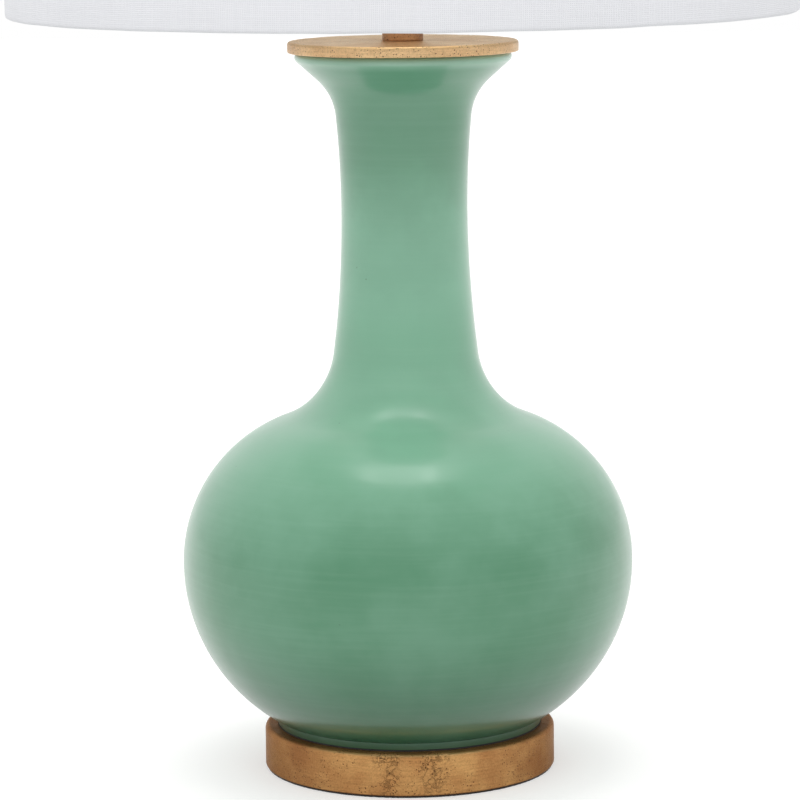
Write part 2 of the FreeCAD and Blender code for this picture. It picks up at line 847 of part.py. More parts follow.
cap_inner = shared("cap_inner", s.socket_cap_radius - s.brass_thick)
shell_radius = shared("shell_radius", cap_inner - s.gap)
shell_inner = shared("shell_inner", shell_radius - s.shell_thick)
sleeve_radius = shared("sleeve_radius", shell_inner - s.gap)
sleeve_inner = shared("sleeve_inner", sleeve_radius - s.sleeve_thick)
block_radius = shared("block_radius", sleeve_inner - s.gap)
dome_round = shared("dome_round", s.socket_cap_radius - s.hub_radius)
dome_top = shared("dome_top", s.hub_skirt + dome_round)
shell_start = shared("shell_start", dome_top + s.gap)
shell_end = shared("shell_end", shell_start + s.shell_height)


def make_socket_cap():
    body = new_piece("socket_cap", socket_seat)
    hole = s.pipe_radius + s.shaft_gap
    turned(body, "socket_cap_turning", [
        (hole, 0),
        (s.hub_radius, 0),
        (s.hub_radius, s.hub_skirt),
        Bend(dome_round, 1),
        (s.socket_cap_radius, dome_top),
        (s.socket_cap_radius, s.socket_cap_height),
        (cap_inner, s.socket_cap_height),
        (cap_inner, dome_top),
        Bend(dome_round - s.brass_thick, -1),
        (s.hub_radius, s.hub_skirt + s.brass_thick),
        (s.hub_radius, s.hub_height),
        (hole, s.hub_height),
    ])
    screw_hole = new_sketch(body, "set_screw_hole_outline", "YZ_Plane")
    draw_circle(screw_hole, 0, s.set_screw_height, s.set_screw_radius + s.shaft_gap)
    cut(body, "set_screw_hole", screw_hole, s.hub_radius * 1.5, along_normal=True)


def make_set_screw():
    to_the_right = FreeCAD.Rotation(Vector(0, 1, 0), 90)
    body = new_piece("socket_set_screw", socket_seat + s.set_screw_height, to_the_right)
    start = s.pipe_radius + s.shaft_gap
    end = start + s.set_screw_length
    turned(body, "set_screw_turning", tube(0, s.set_screw_radius, start, end))
    slot = new_sketch(body, "set_screw_slot_outline")
    half = s.screw_slot / 2
    draw(slot, rectangle(-half, end - s.screw_slot, half, end + s.screw_slot))
    cut_through(body, "set_screw_slot", slot, s.set_screw_radius * 3)


def switch_hole(body, height, radius, reach):
    """Bore a hole for the switch key from the lamp's axis to the front."""
    sketch = new_sketch(body, "switch_hole_outline")
    draw_circle(sketch, 0, height, radius)
    cut(body, "switch_hole", sketch, reach, along_normal=True)


def make_block():
    body = new_piece("socket_interior", block_seat)
    turned(body, "block_turning", tube(0, block_radius, 0, s.block_height))
    switch_hole(body, socket_seat + s.switch_height - block_seat,
                s.key_radius + s.shaft_gap, s.socket_cap_radius)
    height = socket_seat + s.terminal_height - block_seat
    low = height - s.terminal_head_radius - s.terminal_shank
    high = height + s.terminal_head_radius + s.terminal_shank
    flat = new_sketch(body, "terminal_flat_outline")
    draw(flat, rectangle(s.terminal_flat, low, s.socket_cap_radius, high))
    repeated(body, cut_through(body, "terminal_flat", flat, s.socket_cap_radius * 3), as_size(2))
    hole = new_sketch(body, "terminal_hole_outline", "YZ_Plane")
    draw_circle(hole, 0, height, s.terminal_shank + s.shaft_gap)
    bored = cut_through(body, "terminal_hole", hole, s.socket_cap_radius * 3)
    body.Tip = bored


def make_terminal_screws():
    body = new_piece("terminal_screws", socket_seat + s.terminal_height)
    sketch = new_sketch(body, "terminal_screw_outline")
    start = s.terminal_flat - s.terminal_depth
    end = s.terminal_flat + s.terminal_head_thick
    draw(sketch, [
        (start, 0),
        (end, 0),
        (end, s.terminal_head_radius),
        (s.terminal_flat, s.terminal_head_radius),
        (s.terminal_flat, s.terminal_shank),
        (start, s.terminal_shank),
    ])
    screw = body.newObject("PartDesign::Revolution", "terminal_screw")
    screw.Profile = sketch
    screw.ReferenceAxis = (sketch, ["H_Axis"])
    screw.Angle = 360
    repeated(body, screw, as_size(2))


def make_tongue():
    body = new_piece("socket_centre_contact", tongue_seat)
    turned(body, "tongue_disc", tube(0, s.tongue_radius, 0, s.tongue_thick))


def make_screw_shell():
    body = new_piece("socket_screw_shell", tongue_seat)
    outer = s.lamp_thread_radius + s.screw_shell_thick
    turned(body, "screw_shell_turning", [
        (s.tongue_hole, 0),
        (outer, 0),
        (outer, s.screw_shell_height),
        (s.lamp_thread_radius, s.screw_shell_height),
        (s.lamp_thread_radius, s.screw_shell_thick),
        (s.tongue_hole, s.screw_shell_thick),
    ])


def make_sleeve():
    body = new_piece("socket_insulator", socket_seat + s.sleeve_start)
    height = shell_end - s.sleeve_start
    turned(body, "sleeve_turning", tube(sleeve_inner, sleeve_radius, 0, height))
    switch_hole(body, s.switch_height - s.sleeve_start, s.switch_hole, s.socket_cap_radius)


def make_socket_shell():
    body = new_piece("socket_shell", socket_seat + shell_start)
    turned(body, "shell_turning", tube(shell_inner, shell_radius, 0, s.shell_height))
    switch_hole(body, s.switch_height - shell_start, s.switch_hole, s.socket_cap_radius)


def make_switch():
    to_the_front = FreeCAD.Rotation(Vector(1, 0, 0), 90)
    height = socket_seat + s.switch_height
    shaft = new_piece("switch_shaft", height, to_the_front)
    shaft_end = s.key_start + s.key_length
    turned(shaft, "switch_shaft_turning", tube(0, s.key_radius, s.key_start, shaft_end))
    knob = new_piece("switch_knob", height, to_the_front)
    knob_end = s.knob_start + s.knob_length
    turned(knob, "switch_knob_turning", [
        (s.key_radius, s.knob_start),
        *rounded(s.knob_radius, s.knob_start, s.knob_round, RIGHT, UP),
        *rounded(s.knob_radius, knob_end, s.knob_round, UP, LEFT),
        (0, knob_end),
        (0, shaft_end),
        (s.key_radius, shaft_end),
    ])
    flute = new_sketch(knob, "knob_flute_outline", "XY_Plane", s.knob_start + s.flute_start)
    draw_circle(flute, s.knob_radius + s.flute_offset, 0, s.flute_radius)
    first = cut(knob, "knob_flute", flute, s.knob_length, along_normal=True)
    repeated(knob, first, s.flutes)


# ---------------------------------------------------------------------------------------
# Bulb
# ---------------------------------------------------------------------------------------

insulator_seat = shared("insulator_seat", bulb_seat + s.tip_thick + s.gap)
bulb_shell_seat = shared("bulb_shell_seat", insulator_seat + s.insulator_height)
bulb_shell_top = shared("bulb_shell_top", bulb_shell_seat + s.bulb_shell_height)
glass_seat = shared("glass_seat", bulb_shell_top - s.glass_tuck)
ball_height = shared(
    "ball_height", bulb_seat + s.bulb_length - s.bulb_radius - glass_seat)
hollow_x = shared("hollow_x", s.bulb_neck_radius + s.bulb_hollow)
hollow_reach = shared("hollow_reach", s.bulb_radius + s.bulb_hollow)
hollow_z = shared(
    "hollow_z", ball_height - square_root(hollow_reach * hollow_reach - hollow_x * hollow_x))


def make_bulb_contact():
    body = new_piece("bulb_contact", bulb_seat)
    turned(body, "contact_turning", [
        (0, 0),
        (s.tip_radius - s.tip_bevel, 0),
        (s.tip_radius, s.tip_bevel),
        (s.tip_radius, s.tip_thick),
        (0, s.tip_thick),
    ])


def make_bulb_insulator():
    body = new_piece("bulb_insulator", insulator_seat)
    turned(body, "insulator_turning", [
        (0, 0),
        (s.insulator_foot, 0),
        (s.insulator_top, s.insulator_height),
        (0, s.insulator_height),
    ])


def make_bulb_shell():
    body = new_piece("bulb_screw_shell", bulb_shell_seat)
    inner = s.bulb_thread_radius - s.bulb_shell_thick
    turned(body, "bulb_shell_turning", [
        (0, 0),
        (s.insulator_top, 0),
        (s.bulb_thread_radius, s.bulb_thread_radius - s.insulator_top),
        (s.bulb_thread_radius, s.bulb_shell_height),
        (inner, s.bulb_shell_height),
        (inner, s.bulb_thread_radius - s.insulator_top + s.bulb_shell_thick),
        (s.insulator_top, s.bulb_shell_thick),
        (0, s.bulb_shell_thick),
    ])


def bulb_side(inset):
    """The bulb's outline from its neck to its crown."""
    ball = s.bulb_radius - inset
    touch_x = hollow_x * ball / hollow_reach
    touch_z = ball_height - (ball_height - hollow_z) * ball / hollow_reach
    return ball, [
        (s.bulb_neck_radius - inset, 0),
        (s.bulb_neck_radius - inset, hollow_z),
        (touch_x, touch_z),
        (ball, ball_height),
        (0, ball_height + ball),
    ]


def make_bulb_glass():
    body = new_piece("bulb_glass", glass_seat)
    ball, outside = bulb_side(as_size(0))
    inner_ball, inside = bulb_side(s.glass_thick)
    turned(body, "glass_turning", [
        outside[0], outside[1], Bend(s.bulb_hollow, -1), outside[2], Bend(ball, 1), outside[3],
        Bend(ball, 1), outside[4],
        inside[4], Bend(inner_ball, -1), inside[3], Bend(inner_ball, -1), inside[2],
        Bend(s.bulb_hollow + s.glass_thick, 1), inside[1], inside[0],
    ])


def make_bulb_stem():
    body = new_piece("bulb_stem", glass_seat)
    inner = s.bulb_neck_radius - s.glass_thick - s.gap
    turned(body, "stem_turning", [
        (0, 0),
        (inner, 0),
        (inner, s.glass_thick),
        (s.stem_flare, s.glass_thick * 2),
        (s.stem_radius, s.stem_cone),
        (s.stem_radius, s.stem_height),
        (0, s.stem_height),
    ])


def make_filament():
    body = new_piece("bulb_filament", glass_seat)
    low = s.stem_height - s.filament_length / 2
    high = s.stem_height + s.filament_length / 2
    reach = s.filament_circle + s.filament_radius * 2
    top = high + s.filament_cap
    turned(body, "filament_cap", tube(0, reach, high, top))
    turned(body, "filament_post", tube(0, s.stem_radius, s.stem_height + s.gap, top))
    rod = new_sketch(body, "filament_outline", "XY_Plane", low)
    draw_circle(rod, s.filament_circle, 0, s.filament_radius)
    first = padded(body, "filament_rod", rod, top - low)
    repeated(body, first, s.filaments)


# ---------------------------------------------------------------------------------------
# Shade: two wire rings, a fitter with its arms, a stiff liner and the linen wrapped round
# ---------------------------------------------------------------------------------------

wrap_inner = shared("wrap_inner", s.rim_wire + s.gap)
wrap_outer = shared("wrap_outer", wrap_inner + s.linen_thick)
rim_radius = shared("rim_radius", s.shade_radius - wrap_outer)
top_wrap = shared("top_wrap", s.shade_height - wrap_outer)
arm_run = shared("arm_run", rim_radius - s.arm_slope_run)


def make_bottom_ring():
    body = new_piece("shade_bottom_ring", shade_seat)
    turned_wire(body, "bottom_ring_wire", rim_radius, wrap_outer, s.rim_wire)


def make_spider():
    body = new_piece("shade_spider", fitter_seat)
    middle = s.fitter_thick / 2
    turned(body, "fitter_hub", tube(s.fitter_bore, s.fitter_radius, 0, s.fitter_thick))
    ring_height = middle + s.fitter_drop - wrap_outer
    spine = new_sketch(body, "arm_line")
    draw_arm_line(spine, middle, ring_height)
    section = new_sketch(body, "arm_section", "YZ_Plane", s.arm_start)
    draw_circle(section, 0, middle, s.rim_wire)
    arm = body.newObject("PartDesign::AdditivePipe", "fitter_arm")
    arm.Profile = section
    arm.Spine = (spine, [f"Edge{number}" for number in range(1, len(spine.Geometry) + 1)])
    repeated(body, arm, s.arms)
    turned_wire(body, "top_ring_wire", rim_radius, ring_height, s.rim_wire)
    body.setExpression("Placement.Rotation.Angle", "90")


def draw_arm_line(sketch, low, high):
    """A run out from the hub, a bend, and a slope up to the ring."""
    up = high - low
    slope = length_of(s.arm_slope_run, up)
    # the bend's tangent length is its radius times the tangent of half the turn
    tangent = s.arm_bend * up / (slope + s.arm_slope_run)
    draw(sketch, [
        (s.arm_start, low),
        (arm_run - tangent, low),
        Bend(s.arm_bend, 1),
        (arm_run + tangent * s.arm_slope_run / slope, low + tangent * up / slope),
        (rim_radius, high),
    ], closed=False)


def make_liner():
    body = new_piece("shade_liner", shade_seat)
    outer = s.shade_radius - s.linen_thick - s.glue_gap
    low = wrap_outer + s.rim_wire + s.gap
    turned(body, "liner_sheet",
           tube(outer - s.liner_thick, outer, low, s.shade_height - low))


def make_linen():
    body = new_piece("shade_linen", shade_seat)
    inner = s.shade_radius - s.linen_thick
    hem_inner = rim_radius - wrap_outer
    hem_outer = rim_radius - wrap_inner
    low_hem = wrap_outer + s.hem
    high_hem = top_wrap - s.hem
    turned(body, "linen_wrap", [
        (s.shade_radius, wrap_outer),
        (s.shade_radius, top_wrap),
        Bend(wrap_outer, 1),
        (rim_radius, s.shade_height),
        Bend(wrap_outer, 1),
        (hem_inner, top_wrap),
        (hem_inner, high_hem),
        (hem_outer, high_hem),
        (hem_outer, top_wrap),
        Bend(wrap_inner, -1),
        (rim_radius, top_wrap + wrap_inner),
        Bend(wrap_inner, -1),
        (inner, top_wrap),
        (inner, wrap_outer),
        Bend(wrap_inner, -1),
        (rim_radius, s.linen_thick),
        Bend(wrap_inner, -1),
        (hem_outer, wrap_outer),
        (hem_outer, low_hem),
        (hem_inner, low_hem),
        (hem_inner, wrap_outer),
        Bend(wrap_outer, 1),
        (rim_radius, 0),
        Bend(wrap_outer, 1),
    ])
    half = s.notch_width / 2
    notch = new_sketch(body, "arm_notch_outline", "XY_Plane", s.shade_height)
    draw(notch, rectangle(hem_inner - s.hem, -half, rim_radius - s.notch_reach, half))
    first = cut(body, "arm_notch", notch, wrap_outer + s.hem + s.gap)
    repeated(body, first, s.arms)
    body.setExpression("Placement.Rotation.Angle", "90")


# ---------------------------------------------------------------------------------------
# Finial
# ---------------------------------------------------------------------------------------

def make_finial():
    foot = new_piece("finial_base", finial_seat)
    turned(foot, "finial_foot_turning", [
        (s.finial_bore, 0),
        (s.finial_foot_radius, 0),
        (s.finial_foot_radius, s.finial_foot_edge),
        (s.finial_waist, s.finial_foot_height),
        (s.finial_bore, s.finial_foot_height),
    ])
    knob = new_piece("finial_knob", finial_seat + s.finial_foot_height + s.gap)
    bore_depth = s.stud_length - s.finial_foot_height - s.gap
    collar = s.finial_collar - s.finial_waist
    stem_top = collar * 2 + s.finial_neck
    ball_foot = square_root(s.finial_ball * s.finial_ball - s.finial_waist * s.finial_waist)
    ball_centre = stem_top + ball_foot
    bead_foot = square_root(s.finial_ball * s.finial_ball - s.finial_bead * s.finial_bead)
    crown = ball_centre + bead_foot + s.finial_bead_height
    turned(knob, "finial_knob_turning", [
        (s.finial_bore, 0),
        (s.finial_waist, 0),
        Bend(collar, 1),
        (s.finial_collar, collar),
        Bend(collar, 1),
        (s.finial_waist, collar * 2),
        (s.finial_waist, stem_top),
        Bend(s.finial_ball, 1),
        (s.finial_ball, ball_centre),
        Bend(s.finial_ball, 1),
        (s.finial_bead, ball_centre + bead_foot),
        (s.finial_bead, crown - s.finial_bead_bevel),
        (s.finial_bead - s.finial_bead_bevel, crown),
        (0, crown),
        (0, bore_depth),
        (s.finial_bore, bore_depth),
    ])


# ---------------------------------------------------------------------------------------
# Build, check and write
# ---------------------------------------------------------------------------------------

make_felt()
make_plinth()
make_cord_bushing()
make_pipe()
make_washer()
make_nut()
make_gasket()
make_vase()
make_cap()
make_neck()
make_saddle()
make_harp()
make_stud()
make_ferrules()
make_socket_cap()
make_set_screw()
make_block()
make_terminal_screws()
make_tongue()
make_screw_shell()
make_sleeve()
make_socket_shell()
make_switch()
make_bulb_contact()
make_bulb_insulator()
make_bulb_shell()
make_bulb_glass()
make_bulb_stem()
make_filament()
make_bottom_ring()
make_spider()
make_liner()
make_linen()
make_finial()
document.recompute()

for item in document.Objects:
    if "Invalid" in item.State or "Error" in item.State:
        raise RuntimeError(f"{item.Label} did not compute")
    if item.TypeId == "PartDesign::Pocket":
        if item.Shape.Volume >= item.BaseFeature.Shape.Volume:
            raise RuntimeError(f"{item.Label} cuts nothing")

os.makedirs("parts", exist_ok=True)
pieces = [item for item in document.Objects if item.TypeId == "PartDesign::Body"]
for piece in pieces:
    shape = piece.Shape
    if shape.isNull() or not shape.isValid() or not shape.Solids:
        raise RuntimeError(f"{piece.Label} is not a valid solid")
    shape.exportStep(f"parts/{piece.Label}.step")
    box = shape.BoundBox
    print(f"{piece.Label}: {len(shape.Solids)} solid, volume {shape.Volume:.1f}, "
          f"z {box.ZMin:.2f} to {box.ZMax:.2f}")
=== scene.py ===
import math

import bmesh
import bpy
import numpy as np
from mathutils import Matrix, Vector, noise


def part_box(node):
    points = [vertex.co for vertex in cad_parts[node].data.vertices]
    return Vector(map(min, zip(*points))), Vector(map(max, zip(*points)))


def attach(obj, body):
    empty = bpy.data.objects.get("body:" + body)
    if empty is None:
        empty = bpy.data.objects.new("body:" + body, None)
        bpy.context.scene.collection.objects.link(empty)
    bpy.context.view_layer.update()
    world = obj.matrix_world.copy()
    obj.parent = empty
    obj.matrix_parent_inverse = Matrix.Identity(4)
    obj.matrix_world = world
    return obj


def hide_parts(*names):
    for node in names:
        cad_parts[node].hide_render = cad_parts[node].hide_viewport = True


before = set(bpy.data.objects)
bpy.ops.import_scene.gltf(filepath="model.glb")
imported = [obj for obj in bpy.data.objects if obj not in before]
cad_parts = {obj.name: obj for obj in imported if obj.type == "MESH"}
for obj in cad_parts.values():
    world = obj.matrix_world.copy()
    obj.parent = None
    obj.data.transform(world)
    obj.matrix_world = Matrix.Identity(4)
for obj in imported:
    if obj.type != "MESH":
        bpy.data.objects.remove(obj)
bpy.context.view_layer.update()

# The looks of a table lamp: a jade-glazed bottle vase on a gilded plinth under a linen drum
# shade. Metres, +Z up, the front is -Y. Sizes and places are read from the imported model.

MM = 0.001
TOUCH = 1e-6                       # two points nearer than this are one
CORNER = math.radians(32)          # an outline that turns more than this has an edge there
SHARP = math.radians(38)           # faces that meet at more than this show an edge

# ---------------------------------------------------------------------------------------
# Outlines, and meshes turned from them
# ---------------------------------------------------------------------------------------


def section(node):
    """The outline of a turned CAD node where its seam lies: (points, closed), each a
    (radius, height), read along the half plane at +X."""
    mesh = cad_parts[node].data
    spots = {}
    for vertex in mesh.vertices:
        if abs(vertex.co.y) < TOUCH and vertex.co.x > -TOUCH:
            spots[vertex.index] = (round(vertex.co.x, 6), round(vertex.co.z, 6))
    links = {spot: set() for spot in spots.values()}
    for edge in mesh.edges:
        first, second = (spots.get(index) for index in edge.vertices)
        if first and second and first != second:
            links[first].add(second)
            links[second].add(first)
    # a flat face has no seam, so the ends at one height, or else one radius, are joined here
    for axis in (1, 0):
        ends = sorted((spot for spot in links if len(links[spot]) == 1), key=lambda p: p[::-1])
        for end, other in zip(ends, ends[1:]):
            level = abs(end[axis] - other[axis]) < TOUCH
            if level and other not in links[end] and len(links[end]) == len(links[other]) == 1:
                links[end].add(other)
                links[other].add(end)
    loose = [spot for spot in links if len(links[spot]) == 1]
    closed = not loose
    here = min(loose, key=lambda p: p[1]) if loose else min(links)
    line = [here]
    while True:
        onward = [spot for spot in links[here] if spot not in line]
        if not onward:
            break
        here = onward[0]
        line.append(here)
    if not closed:
        axis_low = [(0.0, line[0][1])] if line[0][0] > TOUCH else []
        axis_high = [(0.0, line[-1][1])] if line[-1][0] > TOUCH else []
        line = axis_low + line + axis_high
    return line, closed


def turn_between(before, after):
    return abs(math.atan2(before[0] * after[1] - before[1] * after[0], float(before @ after)))


def smooth(points, closed, step):
    """The same outline in finer steps. A curve runs through the points and bends only
    where they do; the longer of two neighbours gives the direction between them."""
    points = [np.array(point) for point in points]
    count = len(points)
    chords = [points[(index + 1) % count] - points[index] for index in range(count)]

    def direction(index, leaving):
        before, after = chords[index - 1], chords[index % count]
        own = after if leaving else before
        at_end = not closed and index % (count - 1) == 0
        if at_end or turn_between(before, after) > CORNER:
            mean = own
        else:
            mean = before * np.linalg.norm(before) + after * np.linalg.norm(after)
        return mean / np.linalg.norm(mean)

    finer = []
    for index in range(count if closed else count - 1):
        start, end = points[index], points[(index + 1) % count]
        length = np.linalg.norm(chords[index])
        out, back = direction(index, True) * length, direction(index + 1, False) * length
        steps = max(1, math.ceil(length / step))
        for part in range(steps):
            share = part / steps
            square, cube = share ** 2, share ** 3
            finer.append((2 * cube - 3 * square + 1) * start + (cube - 2 * square + share) * out
                         + (3 * square - 2 * cube) * end + (cube - square) * back)
    if not closed:
        finer.append(points[-1])
    return [(float(x), float(z)) for x, z in finer]


def lathe(name, outline, closed, around):
    """A mesh turned from an outline; a point on the axis becomes one vertex."""
    vertices, rings = [], []
    for radius, height in outline:
        first = len(vertices)
        if radius < TOUCH:
            vertices.append((0, 0, height))
            rings.append([first] * around)
            continue
        for column in range(around):
            angle = 2 * math.pi * column / around
            vertices.append((radius * math.sin(angle), -radius * math.cos(angle), height))
        rings.append(list(range(first, first + around)))
    faces = []
    for row in range(len(rings) if closed else len(rings) - 1):
        lower, upper = rings[row], rings[(row + 1) % len(rings)]
        for column in range(around):
            onward = (column + 1) % around
            corners = [lower[column], lower[onward], upper[onward], upper[column]]
            faces.append(list(dict.fromkeys(corners)))
    return finished_mesh(name, vertices, faces)


def finished_mesh(name, vertices, faces):
    mesh = bpy.data.meshes.new(name)
    mesh.from_pydata(vertices, [], faces)
    shaped = bmesh.new()
    shaped.from_mesh(mesh)
    bmesh.ops.recalc_face_normals(shaped, faces=shaped.faces)
    shaped.to_mesh(mesh)
    shaped.free()
    mesh.shade_smooth()
    mesh.set_sharp_from_angle(angle=SHARP)
    return mesh


def worked(mesh, depth_at):
    """Move each vertex along its normal by depth_at(place)."""
    normals = [vertex.normal.copy() for vertex in mesh.vertices]
    for vertex, normal in zip(mesh.vertices, normals):
        vertex.co += normal * depth_at(vertex.co)
    mesh.update()
    return mesh


def drawn_out(mesh, shift_at):
    """Move each vertex away from the axis by shift_at(place)."""
    for vertex in mesh.vertices:
        share = 1 + shift_at(vertex.co) / math.hypot(vertex.co.x, vertex.co.y)
        vertex.co.x *= share
        vertex.co.y *= share
    mesh.update()
    mesh.set_sharp_from_angle(angle=SHARP)
    return mesh


def ramp(value, start, end):
    """0 before start, 1 after end, and smooth between them."""
    share = min(1.0, max(0.0, (value - start) / (end - start)))
    return share * share * (3 - 2 * share)


def piece(name, mesh, finish, body, *nodes):
    """A shown piece in place: its finish, the body that it rides on and what it stands for."""
    thing = bpy.data.objects.new(name, mesh)
    bpy.context.scene.collection.objects.link(thing)
    mesh.materials.clear()
    mesh.materials.append(finish)
    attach(thing, body)
    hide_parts(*nodes)
    return thing


def turned_piece(name, node, body, step, around, depth_at=None):
    """A finer copy of a turned node, with its surface worked where depth_at is given."""
    outline, closed = section(node)
    mesh = lathe(name, smooth(outline, closed, step), closed, around)
    if depth_at:
        worked(mesh, depth_at)
    return piece(name, mesh, finishes[slot_of[node]], body, node)


# ---------------------------------------------------------------------------------------
# Material nodes
# ---------------------------------------------------------------------------------------


class Finish:
    """A material, with one short call for each kind of node used here."""

    def __init__(self, name):
        self.material = bpy.data.materials.new(name)
        self.material.use_nodes = True
        self.tree = self.material.node_tree
        self.shader = self.tree.nodes["Principled BSDF"]

    def feed(self, socket, value):
        if isinstance(value, bpy.types.NodeSocket):
            self.tree.links.new(value, socket)
        else:
            socket.default_value = value

    def add(self, kind, inputs, **settings):
        node = self.tree.nodes.new(f"ShaderNode{kind}")
        for key, value in settings.items():
            setattr(node, key, value)
        for key, value in inputs.items():
            self.feed(node.inputs[key], value)
        return node

    def place(self):
        return self.add("TexCoord", {}).outputs["Object"]

    def scaled(self, where, x, y, z):
        return self.add("VectorMath", {0: where, 1: (x, y, z)}, operation="MULTIPLY").outputs[0]

    def maths(self, operation, first, second=0.0):
        return self.add("Math", {0: first, 1: second}, operation=operation).outputs[0]

    def around(self, radius):
        """(metres round from the front, height, distance from the axis) of a turned piece."""
        parts = self.add("SeparateXYZ", {0: self.place()}).outputs
        front = self.maths("MULTIPLY", parts[1], -1.0)
        angle = self.maths("ARCTAN2", parts[0], front)
        squares = self.maths("ADD", self.maths("MULTIPLY", parts[0], parts[0]),
                             self.maths("MULTIPLY", front, front))
        return (self.maths("MULTIPLY", angle, radius), parts[2],
                self.maths("SQRT", squares))

    def joined(self, x, y, z):
        return self.add("CombineXYZ", {0: x, 1: y, 2: z}).outputs[0]

    def noise(self, where, scale, detail=2.0, roughness=0.5):
        return self.add("TexNoise", {"Vector": where, "Scale": scale, "Detail": detail,
                                     "Roughness": roughness}).outputs["Fac"]

    def cells(self, where, scale):
        return self.add("TexVoronoi", {"Vector": where, "Scale": scale})

    def spread(self, value, low, high, to_low=0.0, to_high=1.0):
        """Map low..high smoothly onto to_low..to_high."""
        return self.add("MapRange", {0: value, 1: low, 2: high, 3: to_low, 4: to_high},
                        interpolation_type="SMOOTHSTEP").outputs[0]

    def mix(self, share, first, second):
        node = self.add("Mix", {0: share, 6: first, 7: second}, data_type="RGBA")
        return node.outputs[2]

    def dim(self, colour, share):
        """The colour times a shade of grey between 0 and 1."""
        grey = self.add("CombineColor", {0: share, 1: share, 2: share}).outputs[0]
        node = self.add("Mix", {0: 1.0, 6: colour, 7: grey}, data_type="RGBA",
                        blend_type="MULTIPLY")
        return node.outputs[2]

    def bump(self, height, depth, before=None):
        inputs = {"Height": height, "Distance": depth}
        if before:
            inputs["Normal"] = before
        return self.add("Bump", inputs).outputs[0]

    def done(self, **inputs):
        """Set the shader's sockets, named with _ for a space, and give the material."""
        for key, value in inputs.items():
            self.feed(self.shader.inputs[key.replace("_", " ")], value)
        return self.material


def rgb(red, green, blue):
    """A colour from its sRGB values, 0 to 255."""
    linear = [(c / 255 + 0.055) / 1.055 for c in (red, green, blue)]
    return tuple(c ** 2.4 if c > 0.0931 else (c * 1.055 - 0.055) / 12.92 for c in linear) + (1,)


def glaze():
    """Jade glaze: paler on the shoulder, partly where it ran thin and partly painted light, and
    paler still on the neck and at the lip, which is painted light. It is darker on the lower
    belly and at the foot, partly where it pooled and partly painted shade. It is clouded, with
    faint rings, a few pinholes and short scratches under the gloss."""
    f = Finish("jade_glaze")
    # the glaze changes between each two of these heights
    foot, belly, shoulder = (0.030, 0.036), (0.03, 0.11), (0.13, 0.215)
    neck, flare, lip = (0.25, 0.29), (0.315, 0.372), (0.413, 0.4185)
    where = f.place()
    height = f.add("SeparateXYZ", {0: where}).outputs[2]
    cloud = f.noise(where, 16, 4, 0.55)
    run = f.maths("MULTIPLY", f.maths("SUBTRACT", cloud, 0.5), 0.05)
    level = f.maths("ADD", height, run)
    # paler on the shoulder, partly where the glaze ran thin and partly painted light
    thin_and_lit = f.maths("MULTIPLY", f.spread(level, *shoulder), f.spread(level, *flare, 1.0, 0.45))
    # painted light: the neck is painted paler
    painted_neck_light = f.maths("MULTIPLY", f.spread(level, *neck), f.spread(level, *flare, 0.5, 0.0))
    rings = f.noise(f.scaled(where, 14, 14, 380), 1, 3, 0.6)
    base = f.mix(thin_and_lit, rgb(73, 132, 98), rgb(120, 175, 145))
    base = f.mix(painted_neck_light, base, rgb(140, 194, 166))
    # painted light: the lip is painted paler
    base = f.mix(f.spread(height, *lip, 0.0, 0.6), base, rgb(184, 220, 200))
    base = f.mix(f.spread(cloud, 0.35, 0.7, 0.0, 0.4), base, rgb(110, 158, 132))
    base = f.mix(f.spread(rings, 0.4, 0.75, 0.0, 0.05), base, rgb(150, 190, 168))
    # darker on the lower belly and at the foot, partly pooled glaze and partly painted shade
    pooled_and_shaded = f.maths("MULTIPLY", f.spread(height, *belly, 0.62, 1.0),
                     f.spread(height, *foot, 0.75, 1.0))
    base = f.dim(base, pooled_and_shaded)
    holes = f.cells(where, 42)
    hole = f.spread(holes.outputs["Distance"], 0.014, 0.024, 1.0, 0.0)
    ticks = f.cells(f.scaled(where, 120, 120, 26), 1)
    rare = f.add("SeparateColor", {0: ticks.outputs["Color"]}).outputs[0]
    tick = f.maths("MULTIPLY", f.spread(ticks.outputs["Distance"], 0.02, 0.06, 1.0, 0.0),
                   f.maths("GREATER_THAN", rare, 0.93))
    mark = f.maths("MAXIMUM", hole, f.maths("MULTIPLY", tick, 0.6))
    base = f.mix(f.maths("MULTIPLY", mark, 0.5), base, rgb(60, 100, 78))
    gloss = f.spread(f.noise(where, 30, 3), 0.3, 0.7, 0.29, 0.34)
    ripple = f.bump(rings, 0.00002)
    ripple = f.bump(f.noise(where, 260, 3), 0.00001, ripple)
    ripple = f.bump(mark, -0.0001, ripple)
    return f.done(Base_Color=base, Roughness=gloss, Normal=ripple, Coat_Weight=0.4,
                  Coat_Roughness=0.12)


